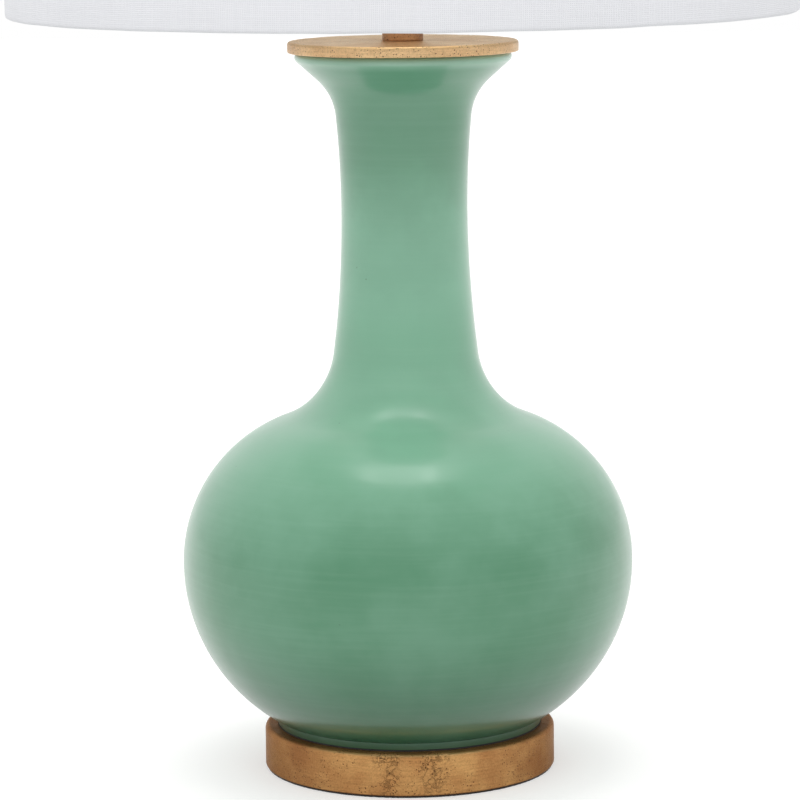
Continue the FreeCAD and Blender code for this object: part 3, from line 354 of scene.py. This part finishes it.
def gilding(name, radius, foot, edge_height, pale, deep, shade_and_foot_tone, bare, wrinkled, lustre):
    """Copper-gold leaf on wood between the heights foot and edge_height, brushed round the piece.
    Painted shade darkens it at the two sides by shade_and_foot_tone, which also darkens it along
    the foot. The dark ground shows through in pits, more of them where bare is higher.
    Overlapping leaves have creases of a depth of wrinkled along some of their edges. A painted
    highlight lightens the upper round edge at the front and back. Lustre tints the gloss."""
    f = Finish(name)
    leaf_width, lap_width, frayed, leaf_start = 0.086, 0.027, 0.009, -0.0135
    shade_and_foot_colour, highlight_colour, ground_colour = rgb(104, 58, 36), rgb(240, 200, 140), rgb(78, 44, 26)
    turn, height, reach = f.around(radius)
    flat = f.joined(turn, height, reach)
    waver = f.maths("MULTIPLY", f.maths("SUBTRACT", f.noise(flat, 90, 3), 0.5), 0.022)
    along = f.maths("SUBTRACT", f.maths("ADD", turn, waver), leaf_start)
    in_leaf = f.maths("FLOORED_MODULO", along, leaf_width)
    from_start = f.maths("MINIMUM", in_leaf, f.maths("SUBTRACT", leaf_width, in_leaf))
    from_end = f.maths("ABSOLUTE", f.maths("SUBTRACT", in_leaf, lap_width))
    edge = f.spread(f.maths("MINIMUM", from_start, from_end), 0.0, frayed, 1.0, 0.0)
    near_front = f.spread(f.maths("ABSOLUTE", turn), 0.03, 0.05, 1.0, 0.0)
    creased = f.maths("MAXIMUM", near_front, f.spread(f.noise(flat, 14, 1), 0.55, 0.65))
    edge = f.maths("MULTIPLY", edge, creased)
    streaks = f.noise(f.scaled(flat, 45, 900, 900), 1, 4, 0.65)
    grain = f.noise(flat, 900, 4, 0.75)
    cloud = f.noise(flat, 34, 4, 0.6)
    colour = f.mix(f.spread(cloud, 0.3, 0.7), deep, pale)
    colour = f.dim(colour, f.maths("MULTIPLY", f.spread(streaks, 0.25, 0.75, 0.80, 1.0),
                                   f.spread(grain, 0.32, 0.6, 0.76, 1.0)))
    # painted shade: the leaf is darker at the two sides than at the front and back
    sides = f.maths("COSINE", f.maths("MULTIPLY", turn, 2 / radius))
    painted_side_shade = f.spread(f.maths("ADD", sides, f.maths("MULTIPLY", cloud, 0.8)), -0.6, 1.2, 1.0, 0.0)
    # darker along the foot
    low = f.spread(height, foot + 0.0002, foot + 0.0012, 1.0, 0.0)
    darkening = f.maths("MAXIMUM", painted_side_shade, low)
    colour = f.mix(f.maths("MULTIPLY", darkening, shade_and_foot_tone), colour, shade_and_foot_colour)
    # painted highlight: a pale line along the upper round edge, at the front and back
    edge_highlight = f.maths("MULTIPLY", f.spread(height, edge_height - 0.002, edge_height - 0.0008),
                     f.spread(reach, radius - 0.002, radius - 0.001))
    edge_highlight = f.maths("MULTIPLY", edge_highlight, f.spread(sides, -0.2, 1.0))
    colour = f.mix(f.maths("MULTIPLY", edge_highlight, 0.5), colour, highlight_colour)
    # fine ridges where the leaf is wrinkled
    folds = f.maths("ABSOLUTE", f.maths("SUBTRACT", f.noise(flat, 300, 3, 0.6), 0.5))
    crease = f.maths("MULTIPLY", f.spread(folds, 0.0, 0.05, 1.0, 0.0), edge)
    # pits down to the dark ground, of two sizes
    ground = f.maths("ADD", f.noise(flat, 55, 3, 0.7), f.maths("MULTIPLY", edge, 0.03))
    ground = f.maths("ADD", ground, f.spread(height, foot, foot + 0.009, 0.10, 0.0))
    chosen = f.spread(ground, 0.56 - bare, 0.66 - bare)

    def pits(scale, most):
        spots = f.cells(flat, scale)
        size = f.add("SeparateColor", {0: spots.outputs["Color"]}).outputs[0]
        least = f.maths("MULTIPLY", size, most)
        return f.maths("MULTIPLY", f.maths("LESS_THAN", spots.outputs["Distance"], least), chosen)

    pit = f.maths("MAXIMUM", pits(420, 0.19), pits(800, 0.33))
    wear = f.maths("MAXIMUM", f.maths("MULTIPLY", crease, 0.03), f.maths("MULTIPLY", pit, 0.8))
    colour = f.mix(wear, colour, ground_colour)
    relief = f.bump(streaks, 0.00004)
    relief = f.bump(crease, wrinkled, relief)
    relief = f.bump(pit, -0.00015, relief)
    relief = f.bump(grain, 0.0002, relief)
    rough = f.maths("ADD", f.spread(cloud, 0.3, 0.7, 0.42, 0.32), f.maths("MULTIPLY", wear, 0.3))
    metal = f.spread(wear, 0.0, 1.0, 0.75, 0.2)
    return f.done(Base_Color=colour, Metallic=metal, Roughness=rough, Normal=relief,
                  Specular_Tint=(*lustre, 1))


def felt():
    f = Finish("black_felt")
    where = f.place()
    fibre = f.noise(f.scaled(where, 1, 1, 2.5), 900, 5, 0.75)
    clump = f.noise(where, 160, 3)
    colour = f.mix(f.spread(fibre, 0.3, 0.75), rgb(24, 20, 18), rgb(62, 54, 48))
    colour = f.dim(colour, f.spread(clump, 0.3, 0.7, 0.75, 1.0))
    return f.done(Base_Color=colour, Roughness=0.95, Sheen_Weight=0.3,
                  Normal=f.bump(fibre, 0.0003))


def linen():
    """Plain weave in threads about a millimetre apart, uneven and slubbed."""
    f = Finish("white_linen")
    thread = 0.00105
    cloth = f.add("UVMap", {}, uv_map="cloth").outputs[0]
    parts = f.add("SeparateXYZ", {0: cloth}).outputs
    slub_across = f.noise(f.scaled(cloth, 28, 1150, 1), 1, 3, 0.6)
    slub_up = f.noise(f.scaled(cloth, 1150, 28, 1), 1, 3, 0.6)
    drift = f.maths("MULTIPLY", f.maths("SUBTRACT", f.noise(cloth, 240, 2), 0.5), 0.0009)

    def threads(metres, slub):
        phase = f.maths("MULTIPLY", f.maths("ADD", metres, drift), 2 * math.pi / thread)
        wave = f.maths("ADD", f.maths("MULTIPLY", f.maths("SINE", phase), 0.5), 0.5)
        return f.maths("MULTIPLY", wave, f.spread(slub, 0.25, 0.8, 0.55, 1.0))

    weft = threads(parts[1], slub_across)
    warp = threads(parts[0], slub_up)
    weave = f.maths("MAXIMUM", weft, warp)
    colour = f.mix(f.spread(weave, 0.1, 0.8), rgb(229, 230, 235), rgb(238, 239, 243))
    threaded = f.maths("MULTIPLY", f.spread(slub_up, 0.3, 0.75, 0.98, 1.0),
                       f.spread(slub_across, 0.3, 0.75, 0.98, 1.0))
    colour = f.dim(colour, threaded)
    colour = f.dim(colour, f.spread(f.noise(cloth, 14, 3), 0.3, 0.7, 0.985, 1.0))
    return f.done(Base_Color=colour, Roughness=0.9, Sheen_Weight=0.15,
                  Normal=f.bump(weave, 0.00012))


def metal(name, colour, dull, shine, lines):
    """Plated or turned metal: fine lines, patches of dulled polish and tiny dents."""
    f = Finish(name)
    where = f.place()
    turning = f.noise(f.scaled(where, 40, 40, lines), 1, 3, 0.6)
    patch = f.noise(where, 70, 4, 0.6)
    tarnish, tarnished = 0.15, tuple(0.55 * c for c in colour[:3]) + (1,)
    tint = f.mix(f.spread(patch, 0.35, 0.75, 0.0, tarnish), colour, tarnished)
    rough = f.spread(patch, 0.3, 0.75, shine, dull)
    relief = f.bump(turning, 0.00002)
    relief = f.bump(f.noise(where, 500, 3), 0.00001, relief)
    return f.done(Base_Color=tint, Metallic=1.0, Roughness=rough, Normal=relief)


def moulded(name, colour, rough, grain, depth, uneven=0.15):
    """Moulded plastic, rubber or board: a grain, cloudy shading and soft gloss."""
    f = Finish(name)
    where = f.place()
    fine = f.noise(where, grain, 4, 0.6)
    cloud = f.noise(where, 60, 3)
    tint = f.dim(colour, f.maths("MULTIPLY", f.spread(cloud, 0.3, 0.7, 1 - uneven, 1.0),
                                 f.spread(fine, 0.2, 0.8, 1 - uneven, 1.0)))
    return f.done(Base_Color=tint, Roughness=f.spread(cloud, 0.3, 0.7, rough, rough + 0.12),
                  Normal=f.bump(fine, depth))


def glass(name, clouding):
    f = Finish(name)
    wobble = f.noise(f.scaled(f.place(), 40, 40, 90), 1, 2)
    tint = f.mix(wobble, rgb(250, 252, 252), rgb(255, 255, 255))
    return f.done(Base_Color=tint, Roughness=f.spread(wobble, 0.3, 0.7, 0.0, clouding),
                  Transmission_Weight=1.0, IOR=1.5, Normal=f.bump(wobble, 0.00005))


def filament():
    f = Finish("phosphor_rods")
    where = f.place()
    beads = f.maths("SINE", f.maths("MULTIPLY", f.add("SeparateXYZ", {0: where}).outputs[2],
                                    2 * math.pi / 0.0012))
    colour = f.mix(f.spread(beads, -1, 1), rgb(214, 158, 52), rgb(236, 188, 84))
    colour = f.dim(colour, f.spread(f.noise(where, 900, 2), 0.3, 0.7, 0.85, 1.0))
    return f.done(Base_Color=colour, Roughness=0.5, Normal=f.bump(beads, 0.0001))


plinth_low, plinth_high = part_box("base_plinth")
cap_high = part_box("vase_cap")[1]
collar_low, collar_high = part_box("neck_collar")
vase_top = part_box("vase_body")[1].z
WARM, CLEAR = (0.6, 0.45, 0.35), (1.0, 1.0, 1.0)      # lustres

finishes = {
    "felt": felt(),
    "gilt_wood": gilding(
        "gilded_plinth", plinth_high.x, plinth_low.z, plinth_high.z, rgb(214, 164, 104),
        rgb(188, 134, 82), shade_and_foot_tone=0.6, bare=0.11, wrinkled=0.0006, lustre=WARM),
    "gilt_metal": gilding(
        "gilded_collar", collar_high.x, collar_low.z, collar_high.z, rgb(252, 208, 160),
        rgb(214, 160, 114), shade_and_foot_tone=0.4, bare=0.18, wrinkled=0.0001, lustre=CLEAR),
    "glaze": glaze(),
    "rubber": moulded("gasket_rubber", rgb(44, 44, 46), 0.6, 900, 0.0001),
    "bushing": moulded("bushing_plastic", rgb(58, 42, 30), 0.4, 700, 0.00004),
    "steel": metal("zinc_plate", rgb(196, 198, 202), 0.5, 0.3, 1200),
    "brass": metal("satin_brass", rgb(214, 176, 104), 0.36, 0.2, 1600),
    "phenolic": moulded("phenolic", rgb(52, 36, 28), 0.35, 500, 0.00004),
    "paperboard": moulded("fibre_board", rgb(120, 96, 72), 0.8, 1100, 0.0002),
    "aluminium": metal("nickel_screw_shell", rgb(206, 206, 204), 0.34, 0.18, 1400),
    "knob": moulded("knob_phenolic", rgb(26, 24, 24), 0.25, 600, 0.00003),
    "black_glass": moulded("vitrite", rgb(20, 18, 24), 0.12, 400, 0.00003),
    "bulb_glass": glass("bulb_glass", 0.02),
    "clear_glass": glass("stem_glass", 0.05),
    "filament": filament(),
    "white_wire": moulded("powder_coat", rgb(232, 232, 230), 0.35, 1500, 0.00004, 0.05),
    "liner": moulded("styrene", rgb(238, 238, 236), 0.3, 300, 0.00003, 0.02),
    "linen": linen(),
}
gilded_cap = gilding(
    "gilded_cap", cap_high.x, vase_top, cap_high.z, rgb(242, 204, 154),
    rgb(226, 184, 136), shade_and_foot_tone=0.12, bare=0.05, wrinkled=0.0001, lustre=CLEAR)
slot_of = {name: node.data.materials[0].name.split(".")[0]
           for name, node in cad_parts.items()}
for name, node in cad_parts.items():
    node.data.materials[0] = finishes[slot_of[name]]


# ---------------------------------------------------------------------------------------
# Vase
# ---------------------------------------------------------------------------------------

RING_SCALE, RING_DEPTH = (4, 4, 210), 0.00003
SWELL_SCALE, SWELL_DEPTH = 11, 0.0003


def thrown(place):
    """The rings and the slight swelling of a pot turned by hand."""
    ring = noise.noise(place * Vector(RING_SCALE))
    swell = noise.noise(place * SWELL_SCALE)
    return ring * RING_DEPTH + swell * SWELL_DEPTH


vase = turned_piece("glazed_vase", "vase_body", "lamp", step=0.0026, around=224,
                    depth_at=thrown)
vase_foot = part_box("vase_body")[0].z
FOOT_INSIDE, FOOT_HEIGHT, UNDERCUT = 0.0735, 0.0062, 0.0009


def undercut(place):
    """The glaze rolls in under the foot."""
    if math.hypot(place.x, place.y) < FOOT_INSIDE:
        return 0.0
    return -UNDERCUT * (1 - ramp(place.z, vase_foot, vase_foot + FOOT_HEIGHT))


drawn_out(vase.data, undercut)


# ---------------------------------------------------------------------------------------
# Plinth, cap and neck, with the wood's unevenness under the leaf
# ---------------------------------------------------------------------------------------


FLAT_SCALE, FLAT_DEPTH = 45, 0.00010
DENT_SCALE, DENT_DEPTH = 420, 0.00003
PIT_SCALE, PIT_DEPTH, PIT_START = 260, 0.0006, 0.42


def leafed(place):
    """Flats, small dents and a few pits of gilded wood."""
    flats = noise.noise(place * FLAT_SCALE) * FLAT_DEPTH
    dents = noise.noise(place * DENT_SCALE) * DENT_DEPTH
    pit = max(0.0, noise.noise(place * PIT_SCALE) - PIT_START) * -PIT_DEPTH
    return flats + dents + pit


def cylinder_along_y(radius, start, end, height):
    """A cutter for a bore that runs from start to end along +Y."""
    shaped = bmesh.new()
    middle = Matrix.Translation((0, (start + end) / 2, height))
    lying = middle @ Matrix.Rotation(math.pi / 2, 4, "X")
    bmesh.ops.create_cone(shaped, cap_ends=True, segments=64, radius1=radius, radius2=radius,
                          depth=end - start, matrix=lying)
    mesh = bpy.data.meshes.new("cutter")
    shaped.to_mesh(mesh)
    shaped.free()
    cutter = bpy.data.objects.new("cutter", mesh)
    bpy.context.scene.collection.objects.link(cutter)
    return cutter


def bored(thing, cutters):
    """Cut the cutters out of a piece and remove them."""
    for cutter in cutters:
        change = thing.modifiers.new("bore", "BOOLEAN")
        change.operation = "DIFFERENCE"
        change.solver = "EXACT"
        change.object = cutter
        with bpy.context.temp_override(object=thing):
            bpy.ops.object.modifier_apply(modifier="bore")
        bpy.data.objects.remove(cutter)
    thing.data.set_sharp_from_angle(angle=SHARP)


PLAY = 0.0003
FLANGE_THICKNESS, BUSHING_BORE, BORE_START = 0.0015, 0.0046, 0.03
plinth = turned_piece("gilded_plinth", "base_plinth", "lamp", step=0.0013, around=480,
                      depth_at=leafed)
inlet_low, inlet_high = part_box("cord_bushing")
inlet_height = (inlet_low.z + inlet_high.z) / 2
flange = (inlet_high.z - inlet_low.z) / 2 + PLAY
flange_face = inlet_high.y - FLANGE_THICKNESS
bored(plinth, [
    cylinder_along_y(flange, flange_face, inlet_high.y + flange, inlet_height),
    cylinder_along_y(BUSHING_BORE, BORE_START, inlet_high.y, inlet_height),
])
cap = turned_piece("gilded_cap", "vase_cap", "lamp", step=0.0013, around=400, depth_at=leafed)
cap.data.materials[0] = gilded_cap
turned_piece("neck_tube", "neck_collar", "lamp", step=0.0008, around=192, depth_at=leafed)


FUZZ_SCALE, FUZZ_DEPTH = 700, 0.00018


def fuzzy(place):
    return noise.noise(place * FUZZ_SCALE) * FUZZ_DEPTH


turned_piece("felt_pad", "base_felt", "lamp", step=0.0015, around=360, depth_at=fuzzy)


# ---------------------------------------------------------------------------------------
# Socket and bulb: the rolled beads of the brass shell and the screw threads
# ---------------------------------------------------------------------------------------


BEADS_BELOW_TOP, BEAD_WIDTH, BEAD_DEPTH = (0.0285, 0.0055), 0.0011, 0.00055
MOUTH_HEIGHT, MOUTH_FLARE = 0.0025, 0.0006


def beaded(place):
    """Two beads and a flared mouth."""
    beads = sum(math.exp(-((place.z - shell_top + below) / BEAD_WIDTH) ** 2)
                for below in BEADS_BELOW_TOP)
    return BEAD_DEPTH * beads + MOUTH_FLARE * ramp(place.z, shell_top - MOUTH_HEIGHT, shell_top)


def threaded(start, end, pitch, inner, outer):
    """A round screw thread between two heights that shifts the wall from inner to outer. It
    fades in and out over run_out at its ends."""
    run_out = 0.002

    def shift(place):
        turn = math.atan2(place.y, place.x) / (2 * math.pi)
        wave = (1 + math.cos(2 * math.pi * (place.z / pitch - turn))) / 2
        held = ramp(place.z, start, start + run_out) * (1 - ramp(place.z, end - run_out, end))
        return held * (inner + (outer - inner) * wave)

    return shift


shell_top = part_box("socket_shell")[1].z
switch_low, switch_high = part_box("switch_shaft")
switch_height = (switch_low.z + switch_high.z) / 2
shell = turned_piece("beaded_socket_shell", "socket_shell", "lamp", step=0.0006, around=120)
drawn_out(shell.data, beaded)
SWITCH_BORE, SWITCH_BORE_START, SWITCH_BORE_END = 0.0024, -0.020, -0.010
bored(shell, [cylinder_along_y(SWITCH_BORE, SWITCH_BORE_START, SWITCH_BORE_END, switch_height)])

THREAD_DEPTH = 0.0007
THREAD_PITCH = 0.0146 / 4          # the bulb rises this far in a turn
BULB_RIM = 0.0055                  # the plain part of the bulb's shell above its thread
SOCKET_FOOT, SOCKET_RIM = 0.002, 0.001
bulb_shell_low, bulb_shell_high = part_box("bulb_screw_shell")
bulb_thread = turned_piece("bulb_thread", "bulb_screw_shell", "bulb", step=0.0003, around=96)
drawn_out(bulb_thread.data, threaded(bulb_shell_low.z, bulb_shell_high.z - BULB_RIM,
                                     THREAD_PITCH, -THREAD_DEPTH, 0.0))
socket_low, socket_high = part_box("socket_screw_shell")
socket_thread = turned_piece("socket_thread", "socket_screw_shell", "lamp", step=0.0003,
                             around=96)
drawn_out(socket_thread.data, threaded(socket_low.z + SOCKET_FOOT, socket_high.z - SOCKET_RIM,
                                       THREAD_PITCH, 0.0, THREAD_DEPTH))


# ---------------------------------------------------------------------------------------
# Shade: linen lapped over itself at the back, on a stiff liner with a seam of its own
# ---------------------------------------------------------------------------------------


def wrapped(name, outline, lap, thickness, columns, lap_bearing, raise_at=None):
    """A sheet wound once round the axis from its closed section, lapping over its start.
    The sheet stands out by its thickness along the lap. The UV map "cloth" is the flat sheet
    in metres."""
    radius = max(x for x, _ in outline)
    full = 2 * math.pi + lap / radius
    step_out = lap / radius / 3
    run = [0.0]
    for before, after in zip(outline, outline[1:] + outline[:1]):
        run.append(run[-1] + math.dist(before, after))
    vertices, faces = [], []
    rows = len(outline)
    for column in range(columns + 1):
        turned = full * column / columns
        angle = lap_bearing + turned
        beyond = turned - (2 * math.pi - step_out)
        out = thickness * min(1.0, max(0.0, beyond / step_out))
        for x, z in outline:
            if raise_at:
                z = raise_at(x, z, angle)
            reach = x + out
            vertices.append((reach * math.sin(angle), -reach * math.cos(angle), z))
    for column in range(columns):
        for row in range(rows):
            onward = (row + 1) % rows
            low, high = column * rows, (column + 1) * rows
            faces.append([low + row, high + row, high + onward, low + onward])
    faces.append(list(range(rows)))
    faces.append([columns * rows + row for row in reversed(range(rows))])
    mesh = finished_mesh(name, vertices, faces)
    cloth = mesh.uv_layers.new(name="cloth")
    for polygon in mesh.polygons:
        for corner in polygon.loop_indices:
            column, row = divmod(mesh.loops[corner].vertex_index, rows)
            after = run[row]
            if len(polygon.vertices) == 4 and row == 0:
                others = {mesh.loops[c].vertex_index % rows for c in polygon.loop_indices}
                if rows - 1 in others:
                    after = run[-1]
            cloth.data[corner].uv = (full * radius * column / columns, after)
    return mesh


def arc(centre, radius, start, end, steps):
    """Points of an arc, by angles in degrees from +radius towards +height."""
    angles = [math.radians(start + (end - start) * part / steps) for part in range(steps + 1)]
    return [(centre[0] + radius * math.cos(a), centre[1] + radius * math.sin(a)) for a in angles]


def upright(radius, start, end, step):
    steps = max(1, round(abs(end - start) / step))
    return [(radius, start + (end - start) * part / steps) for part in range(1, steps)]


shade_low, shade_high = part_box("shade_linen")
shade_radius = shade_high.y
LINEN, RIM_WIRE, HEM, LINEN_LAP = 0.0006, 0.0014, 0.004, 0.014
ROW, HEM_ROW, BENDS = 0.012, 0.002, 10        # how finely the sheets are divided
SEAM = math.pi + 0.25                         # bearing of the laps, beside the back arm
wrap_inner = RIM_WIRE + PLAY
wrap_outer = wrap_inner + LINEN
rim_radius = shade_radius - wrap_outer
bottom_rim = (rim_radius, shade_low.z + wrap_outer)
top_rim = (rim_radius, shade_high.z - wrap_outer)
hem_out, hem_in = rim_radius - wrap_inner, rim_radius - wrap_outer
linen_outline = (
    arc(bottom_rim, wrap_outer, 180, 360, BENDS)
    + upright(shade_radius, bottom_rim[1], top_rim[1], ROW)
    + arc(top_rim, wrap_outer, 0, 180, BENDS)
    + upright(hem_in, top_rim[1], top_rim[1] - HEM, HEM_ROW)
    + [(hem_in, top_rim[1] - HEM), (hem_out, top_rim[1] - HEM)]
    + arc(top_rim, wrap_inner, 180, 0, BENDS)
    + upright(shade_radius - LINEN, top_rim[1], bottom_rim[1], ROW)
    + arc(bottom_rim, wrap_inner, 360, 180, BENDS)
    + [(hem_out, bottom_rim[1] + HEM), (hem_in, bottom_rim[1] + HEM)]
    + upright(hem_in, bottom_rim[1] + HEM, bottom_rim[1], HEM_ROW)
)
ARM_BEARINGS = [math.pi + turn * 2 * math.pi / 3 for turn in range(3)]
SLIT = 0.0024 / rim_radius                    # half the angle of the hem's slit at an arm
WANDER_SCALE, WANDER_DEPTH = (9, 9, 3), 0.00025


def pulled_linen(x, z, angle):
    """The cloth's edge wanders a little along the rims, and its hem is slit for the arms."""
    near_arm = min(abs(math.remainder(angle - bearing, 2 * math.pi)) for bearing in ARM_BEARINGS)
    if x < rim_radius and near_arm < SLIT and z > top_rim[1] - HEM - TOUCH:
        z = max(z, top_rim[1])
    round_rim = Vector((math.sin(angle), math.cos(angle), z))
    return z + noise.noise(round_rim * Vector(WANDER_SCALE)) * WANDER_DEPTH


shade_cloth = piece(
    "linen_cloth",
    wrapped("linen_cloth", linen_outline, LINEN_LAP, LINEN, columns=900, lap_bearing=SEAM,
            raise_at=pulled_linen),
    finishes["linen"], "shade", "shade_linen")

liner_low, liner_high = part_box("shade_liner")
LINER, LINER_LAP = 0.00065, 0.010
liner_outline = (
    [(liner_high.x - LINER, liner_low.z), (liner_high.x, liner_low.z)]
    + upright(liner_high.x, liner_low.z, liner_high.z, ROW)
    + [(liner_high.x, liner_high.z), (liner_high.x - LINER, liner_high.z)]
    + upright(liner_high.x - LINER, liner_high.z, liner_low.z, ROW)
)
piece("shade_liner_sheet",
      wrapped("shade_liner_sheet", liner_outline, LINER_LAP, -LINER, columns=360,
              lap_bearing=SEAM),
      finishes["liner"], "shade", "shade_liner")


# ---------------------------------------------------------------------------------------
# Camera, light and floor
# ---------------------------------------------------------------------------------------

PICTURE, SENSOR = 800, 36.0
FOCAL_PIXELS = 3721.5
EYE_DISTANCE, EYE_HEIGHT = 2.1598, 0.5474
EYE_DOWN = math.radians(8.673)
EYE_ROLL = math.radians(-0.6)
AXIS_PIXEL = 406.5                 # where the lamp's axis crosses the picture's middle row


def make_camera():
    lens = bpy.data.cameras.new("camera")
    lens.sensor_width = SENSOR
    lens.lens = FOCAL_PIXELS * SENSOR / PICTURE
    lens.clip_end = 50
    camera = bpy.data.objects.new("camera", lens)
    bpy.context.scene.collection.objects.link(camera)
    painted_side_shade = (PICTURE / 2 - AXIS_PIXEL) / FOCAL_PIXELS * EYE_DISTANCE
    tilt = Matrix.Rotation(math.pi / 2 - EYE_DOWN, 4, "X") @ Matrix.Rotation(EYE_ROLL, 4, "Z")
    camera.matrix_world = Matrix.Translation((painted_side_shade, -EYE_DISTANCE, EYE_HEIGHT)) @ tilt
    bpy.context.scene.camera = camera


def placed_light(name, kind, place, aim):
    lamp = bpy.data.lights.new(name, kind)
    thing = bpy.data.objects.new(name, lamp)
    bpy.context.scene.collection.objects.link(thing)
    thing.location = place
    thing.rotation_euler = (Vector(aim) - Vector(place)).to_track_quat("-Z", "Y").to_euler()
    thing.visible_camera = False
    return thing


def softbox(name, place, aim, width, height, brightness, plateau=0.2):
    """A flat lamp that glows with a brightness, where 1 shows as white, over the plateau's
    share of its half width, and fades from there to its edges."""
    lamp = placed_light(name, "AREA", place, aim).data
    lamp.shape = "RECTANGLE"
    lamp.size = width
    lamp.size_y = height
    lamp.energy = brightness * math.pi * width * height
    lamp.use_nodes = True
    tree = lamp.node_tree
    spot = tree.nodes.new("ShaderNodeNewGeometry").outputs["Parametric"]
    offset = tree.nodes.new("ShaderNodeVectorMath")
    offset.operation = "DISTANCE"
    tree.links.new(spot, offset.inputs[0])
    offset.inputs[1].default_value = (0.5, 0.5, 0)
    fade = tree.nodes.new("ShaderNodeMapRange")
    fade.interpolation_type = "SMOOTHSTEP"
    tree.links.new(offset.outputs["Value"], fade.inputs[0])
    for socket, value in zip(list(fade.inputs)[1:5], (plateau / 2, 0.5, 1.0, 0.0)):
        socket.default_value = value
    tree.links.new(fade.outputs[0], tree.nodes["Emission"].inputs["Strength"])


def soft_sun(name, bearing, climb, spread, share):
    """Even light from one side, with soft shadows; a white sheet facing it would reach share
    of white. It shows in no reflection."""
    bearing, climb = math.radians(bearing), math.radians(climb)
    place = (math.sin(bearing) * math.cos(climb), -math.cos(bearing) * math.cos(climb),
             math.sin(climb))
    thing = placed_light(name, "SUN", place, (0, 0, 0))
    thing.data.energy = share * math.pi
    thing.data.angle = math.radians(spread)
    thing.visible_glossy = False


def seen_rays(tree):
    """1 for a ray from the camera, from a gloss or through glass, 0 for diffuse light."""
    rays = tree.nodes.new("ShaderNodeLightPath").outputs
    total = rays["Is Camera Ray"]
    for name in ("Is Glossy Ray", "Is Transmission Ray"):
        either = tree.nodes.new("ShaderNodeMath")
        either.operation = "MAXIMUM"
        tree.links.new(total, either.inputs[0])
        tree.links.new(rays[name], either.inputs[1])
        total = either.outputs[0]
    return total


def make_world(low, high):
    """White to the camera and in reflections and glass. The light that it gives rises from
    low at the horizon to high overhead."""
    world = bpy.data.worlds.new("studio")
    bpy.context.scene.world = world
    world.use_nodes = True
    tree = world.node_tree
    parts = tree.nodes.new("ShaderNodeSeparateXYZ")
    tree.links.new(tree.nodes.new("ShaderNodeTexCoord").outputs["Generated"], parts.inputs[0])
    fill = tree.nodes.new("ShaderNodeMapRange")
    tree.links.new(parts.outputs[2], fill.inputs[0])
    level = tree.nodes.new("ShaderNodeMapRange")
    tree.links.new(seen_rays(tree), level.inputs[0])
    tree.links.new(fill.outputs[0], level.inputs[3])
    fill.inputs[3].default_value, fill.inputs[4].default_value = low, high
    level.inputs[4].default_value = 1.0
    tree.links.new(level.outputs[0], tree.nodes["Background"].inputs["Strength"])
    tree.nodes["Background"].inputs["Color"].default_value = (1, 1, 1, 1)


def make_floor(glow):
    """A pale floor, lifted a little where the camera or a reflection sees it, so that it
    reads as white and keeps a soft shadow."""
    half, below_felt = 8.0, 0.0002
    mesh = bpy.data.meshes.new("floor")
    mesh.from_pydata([(-half, -half, 0), (half, -half, 0), (half, half, 0), (-half, half, 0)],
                     [], [(0, 1, 2, 3)])
    floor = bpy.data.objects.new("floor", mesh)
    bpy.context.scene.collection.objects.link(floor)
    floor.location.z = -below_felt
    f = Finish("floor")
    lifted = f.maths("MULTIPLY", seen_rays(f.tree), glow)
    f.done(Base_Color=rgb(212, 212, 211), Roughness=0.8, Specular_IOR_Level=0.0,
           Emission_Color=(1, 1, 1, 1), Emission_Strength=lifted)
    mesh.materials.append(f.material)


make_camera()
make_world(low=0.65, high=1.40)
make_floor(glow=0.4)
soft_sun("key", bearing=-10, climb=35, spread=40, share=0.11)
softbox("top_left", (-0.56, -0.15, 2.5), (-0.56, -0.15, 0), width=0.5, height=1.2,
        brightness=1.8)
softbox("top_right", (0.33, -0.15, 2.5), (0.33, -0.15, 0), width=0.36, height=0.9,
        brightness=3.2)
softbox("scrim", (0.0, -0.2, 2.6), (0, 0, 0.25), width=2.4, height=2.0, brightness=2.0,
        plateau=0.1)

bpy.context.scene.view_settings.view_transform = "Standard"
